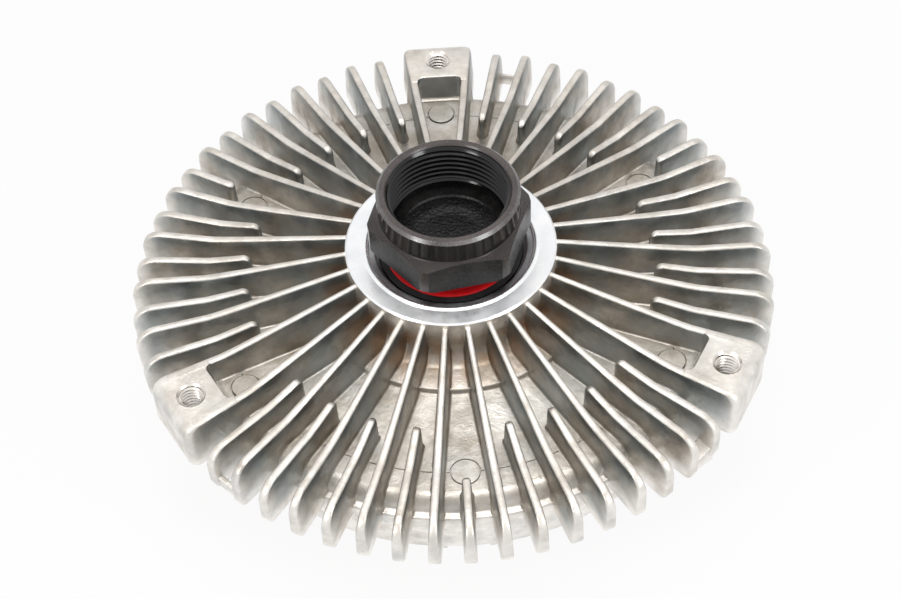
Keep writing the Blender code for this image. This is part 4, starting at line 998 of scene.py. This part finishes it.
def make_bearing():
    """The parts of the bearing in view: the outer ring's face and the red seal with its black lip."""
    low, high = BEARING_LOW, BEARING_TOP
    race, wall, land, outer = 16.9, 17.3, 17.6, 20.0
    ring = [(wall, low), (outer, low), (outer, high - 0.4), (outer - 0.4, high), (land + 0.3, high),
            (land, high - 0.3), (17.5, high - 1.4), (race, high - 1.5), (race, low + 1.5), (wall, low + 1.4)]
    inner, edge, lip_edge = 12.4, 15.3, 16.74
    top = BEARING_TOP - SEAL_DROP
    low, groove = top - SEAL_DEPTH, top - 0.15
    red = [(inner, low), (edge, low), (edge, groove), (15.05, top), (14.0, top), (13.7, groove),
           (13.0, groove), (12.6, top), (inner, top - 0.1)]
    lip = [(edge, low), (lip_edge, low), (lip_edge, top - 0.45), (edge, top - 0.35)]
    made = (("bearing_outer_face", BEARING_FACE, ring), ("red_seal_face", SEAL_RED, red),
            ("seal_edge", RUBBER, lip))
    return [make_piece(name, [material], turned_body(profile, RING_SEGMENTS))
            for name, material, profile in made]


# Front half

def make_cover():
    """The front casting as seen from below: face, step, cooling fins and coil post."""
    land_top = top_of("front_cover")
    seal_floor = COVER_RADIUS - COVER_SEAL_DEPTH
    seal_low, seal_high = COVER_TOP - 3.6, COVER_TOP - 1.2
    plate_seat = COVER_TOP - 1.2
    face_inside = COVER_FACE + COVER_WALL
    hub_top = COVER_TOP - 2.5
    points = [
        (COVER_BORE, COVER_FACE + 0.3), (COVER_BORE + 0.3, COVER_FACE), (9.0, COVER_FACE),
        (9.4, COVER_FACE + 0.3), (22.8, COVER_FACE + 0.3), (23.2, COVER_FACE),
        *arc(RESERVOIR_RADIUS - 0.8, COVER_FACE + 0.8, 0.8, 270, 315, 3),
        *arc(RESERVOIR_RADIUS + 4.4, COVER_FLANGE_FACE - 1.0, 1.0, 135, 90, 3),
        (COVER_RADIUS, COVER_FLANGE_FACE), (COVER_RADIUS, seal_low), (seal_floor, seal_low),
        (seal_floor, seal_high), (COVER_RADIUS, seal_high), (COVER_RADIUS, COVER_TOP),
    ]
    for i in range(LAND_COUNT):
        outer = LAND_START - LAND_PITCH * i
        inner = outer - LAND_WIDTH
        points += [(outer, COVER_TOP), (outer, land_top), (inner, land_top), (inner, COVER_TOP)]
    points += [
        (42.4, COVER_TOP), (42.4, plate_seat), (RESERVOIR_RADIUS, plate_seat),
        (RESERVOIR_RADIUS, face_inside), (9.3, face_inside), (9.3, hub_top), (COVER_BORE, hub_top),
    ]
    fins = around(cover_fin(), [i * 360.0 / COVER_FIN_COUNT for i in range(COVER_FIN_COUNT)])
    post = [body for side in (1, -1) for body in around(post_cheek(side), [180.0])]
    return make_piece("front_casting", [CAST_FRONT], turned_body(points, SHELL_SEGMENTS), *fins, *post)


def cover_fin():
    """One closed fin of the front casting along +X, with rounded edges and a filleted root."""
    outer = COVER_RADIUS - 3.0
    corner, toe, soft, fillet = 2.5, 0.8, 0.3, 0.9
    start, shelf = COVER_FIN_START, RESERVOIR_RADIUS - 0.4
    sunk_face, sunk_flange = COVER_FACE + 1.3, COVER_FLANGE_FACE + 1.3
    edge = np.concatenate([
        resample([(start, COVER_FACE + 1.2), (start, toe)], 6),
        arc(start + toe, toe, toe, 180, 270, 4),
        resample([(start + toe, 0.0), (outer - corner, 0.0)], 14)[1:],
        arc(outer - corner, corner, corner, 270, 360, 6)[1:],
        resample([(outer, corner), (outer, COVER_FLANGE_FACE + 1.0)], 6)[1:],
    ])
    ground = [(start - 3, COVER_FACE), (shelf, COVER_FACE), (RESERVOIR_RADIUS + 3.7, COVER_FLANGE_FACE),
              (outer + 3, COVER_FLANGE_FACE)]
    base = resample([(start + 0.1, sunk_face), (shelf, sunk_face), (RESERVOIR_RADIUS + 3.0, sunk_flange),
                     (outer - 0.1, sunk_flange)], len(edge))
    shares = np.array([0.0, 0.01, 0.03, 0.06, 0.4, 0.72, 0.78, 0.83, 0.87, 1.0])
    points = edge[:, None] * (1 - shares[:, None]) + base[:, None] * shares[:, None]
    draft = math.tan(math.radians(1.4))
    side = COVER_FIN_HALF + points[..., 1] * draft + fallback(fillet, distance_to(ground, points))
    return mirrored_body(points, side - fallback(soft, distance_to(edge, points)))


def post_cheek(side):
    """One rounded cheek of the post that grips the coil's outer tab."""
    r_in, r_out = 17.5, 21.7
    near, far = 0.75, 2.55
    z_low, z_high, soft, corner = 1.8, COVER_FACE + 1.5, 0.35, 0.6
    rows = []
    for z, inset in ((z_high, 0.0), (z_low + soft, 0.0), (z_low + 0.1, soft - 0.1), (z_low, soft + 0.15)):
        x0, x1, y0, y1 = r_in + inset, r_out - inset, near + inset * 0.4, far - inset
        ring = arc(x1 - corner, y1 - corner, corner, 0, 90, 3)
        ring += arc(x0 + corner, y1 - corner, corner, 90, 180, 3)
        ring += [(x0, y0), (x1, y0)]
        rows.append([(x, side * y, z) for x, y in ring])
    return bar_body(rows)


def make_coil():
    """The bimetal coil: a spiral strip from the valve shaft's slot to the post."""
    first, last, turns, width, tab, tang = 6.2, 16.0, 3.5, 0.9, 4.5, 3.2
    low, high, soft = 1.8, 7.6, 0.12
    end = turns * math.tau
    # The tang's bend takes the place of the spiral's first steps, and the tab's bend that of its last
    share = np.linspace(0, 1, 200)[4:-3]
    angle = share * end
    radius = first + (last - first) * share
    spiral = np.stack([radius * np.cos(angle), radius * np.sin(angle)], axis=1)
    tang_bend = [(-tang, 0.0), (4.6, 0.0), (5.5, 0.15)]
    out = np.array([math.cos(end), math.sin(end)])
    half = width / 2
    bend = last + half
    path = np.concatenate([tang_bend, spiral, [out * bend, out * (bend + 0.6)], [out * (bend + tab)]])
    ahead = np.gradient(path, axis=0)
    ahead /= np.linalg.norm(ahead, axis=1)[:, None]
    across = np.stack([-ahead[:, 1], ahead[:, 0]], axis=1)
    section = [(half - soft, low), (half, low + soft), (half, high - soft), (half - soft, high),
               (soft - half, high), (-half, high - soft), (-half, low + soft), (soft - half, low)]
    strip = bar_body([[(*(p + n * w), z) for w, z in section] for p, n in zip(path, across)])
    return make_piece("coil_strip", [BIMETAL], strip)


def make_valve_shaft():
    """The valve shaft's turned end with its slot, as seen inside the coil."""
    low, top = bottom_of("valve_shaft"), top_of("valve_shaft")
    shoulder = top - 1.2
    middle = (COVER_FACE * 2 + COVER_WALL) / 2
    radius, groove, chamfer = 3.9, 2.5, 0.4
    body = turned_body([
        (0, low), (radius - chamfer, low), (radius, low + 0.35), (radius, middle - 1.0),
        (groove, middle - 1.0), (groove, middle + 1.0), (radius, middle + 1.0), (radius, shoulder),
        (0, shoulder),
    ], 64)
    shaft = make_piece("valve_shaft_turned", [STAMPED], body)
    cut(shaft, STAMPED, [box_body(9, 0.75, low - 1, 7.9)])
    return shaft, make_piece("valve_tenon", [STAMPED], box_body(2.3, 2.3, shoulder - 0.3, top))


# Scene around the object

def make_camera():
    """The photograph's view: from above the front, turned a little about its own axis."""
    turn = Matrix.Rotation(-CAMERA_TURN, 3, "Z")
    tilt = Matrix.Rotation(math.pi / 2 - CAMERA_ELEVATION, 3, "X")
    roll = Matrix.Rotation(CAMERA_ROLL, 3, "Z")
    stand = turn @ (Vector((AIM_SIDE, AIM_BACK, 0)) + tilt @ Vector((0, 0, CAMERA_DISTANCE)))
    stand = (stand + Vector((0, 0, AIM_HEIGHT))) * MM
    data = bpy.data.cameras.new("photo_view")
    data.lens = CAMERA_LENS
    data.sensor_width = 36.0
    data.clip_start = 0.01
    camera = bpy.data.objects.new("photo_view", data)
    camera.matrix_world = Matrix.Translation(stand) @ (turn @ tilt @ roll).to_4x4()
    bpy.context.collection.objects.link(camera)
    bpy.context.scene.camera = camera


def soft_light(name, position, size, power, colour):
    """A square lamp that faces the object. Lengths are in metres."""
    data = bpy.data.lights.new(name, "AREA")
    data.shape = "RECTANGLE"
    data.size = data.size_y = size
    data.energy = power
    data.color = colour
    lamp = bpy.data.objects.new(name, data)
    lamp.location = position
    lamp.rotation_euler = (Vector(LAMP_AIM) - Vector(position)).to_track_quat("-Z", "Y").to_euler()
    bpy.context.collection.objects.link(lamp)


def make_world():
    """A white backdrop for the camera and reflections, and a dimmer one for the light it gives."""
    world = bpy.data.worlds.new("studio")
    bpy.context.scene.world = world
    world.use_nodes = True
    world.node_tree.nodes.clear()
    t = Tree(world.node_tree)
    light = t.node("ShaderNodeBackground", {"Color": SKY_COLOUR, "Strength": SKY_STRENGTH})
    white = t.node("ShaderNodeBackground", {"Color": (1, 1, 1)})
    mixed = t.node("ShaderNodeMixShader", {0: t.backdrop(), 1: light, 2: white})
    t.node("ShaderNodeOutputWorld", {"Surface": mixed})


def make_floor():
    """A pale floor that shows white to the camera and keeps a soft shadow."""
    bpy.ops.mesh.primitive_plane_add(size=4.0)
    floor = bpy.context.object
    floor.name = "floor"
    n = Finish("pale_floor")
    floor.data.materials.append(n.finish(FLOOR_COLOUR, 0.9, 0.0, Specular_IOR_Level=0.0))
    glow = n.node("ShaderNodeEmission", {"Color": (1, 1, 1)})
    share = n.times(n.backdrop(), FLOOR_GLOW)
    mixed = n.node("ShaderNodeMixShader", {0: share, 1: n.shader.outputs[0], 2: glow})
    n.feed(n.tree.nodes["Material Output"].inputs["Surface"], mixed)


def finish_nodes():
    """Gives every solid that stays in the scene its own finish."""
    finishes = (
        (RUBBER, "cover_seal_ring", "valve_seal_ring"),
        (STAMPED, "separator_plate", "valve_arm", "bearing_cage"),
        (BEARING_FACE, "bearing_inner_ring", *(f"bearing_ball_{i}" for i in range(1, 9))),
        (SEAL_RED, "bearing_seal_lower"),
        (CAST_FRONT, "rotor"),
    )
    for material, *names in finishes:
        for name in names:
            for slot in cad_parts[name].material_slots:
                slot.material = material


def build():
    """Makes every piece, says what each one rides on, and lights the scene."""
    for item in (*make_shell(), make_fins(), make_gates(), *make_lugs()):
        place(item, "casing", "cast_aluminium", "clutch_housing")
    for item in make_hub():
        place(item, "hub", "black_oxide", "drive_hub")
    ring, red, lip = make_bearing()
    place(ring, "casing", "bearing_steel", "bearing_outer_ring")
    place(red, "casing", "red_seal", "bearing_seal_upper")
    place(lip, "casing", "rubber", "bearing_seal_upper")
    place(make_cover(), "casing", "cast_aluminium", "front_cover")
    coil = make_coil()
    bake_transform(coil)
    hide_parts("bimetal_coil")
    for item in make_valve_shaft():
        place(item, "valve", "plate_steel", "valve_shaft")
    finish_nodes()
    make_camera()
    make_world()
    make_floor()
    soft_light("overhead", (0.0, 0.05, 0.9), 0.5, 3.0, (1, 1, 1))
    soft_light("left_key", (-0.55, -0.5, 0.52), KEY_SIZE, KEY_POWER, (1.0, 0.98, 0.95))
    soft_light("right_key", (0.55, -0.5, 0.52), KEY_SIZE, KEY_POWER, (0.97, 0.99, 1.0))


build()
bpy.context.scene.view_settings.view_transform = "Standard"
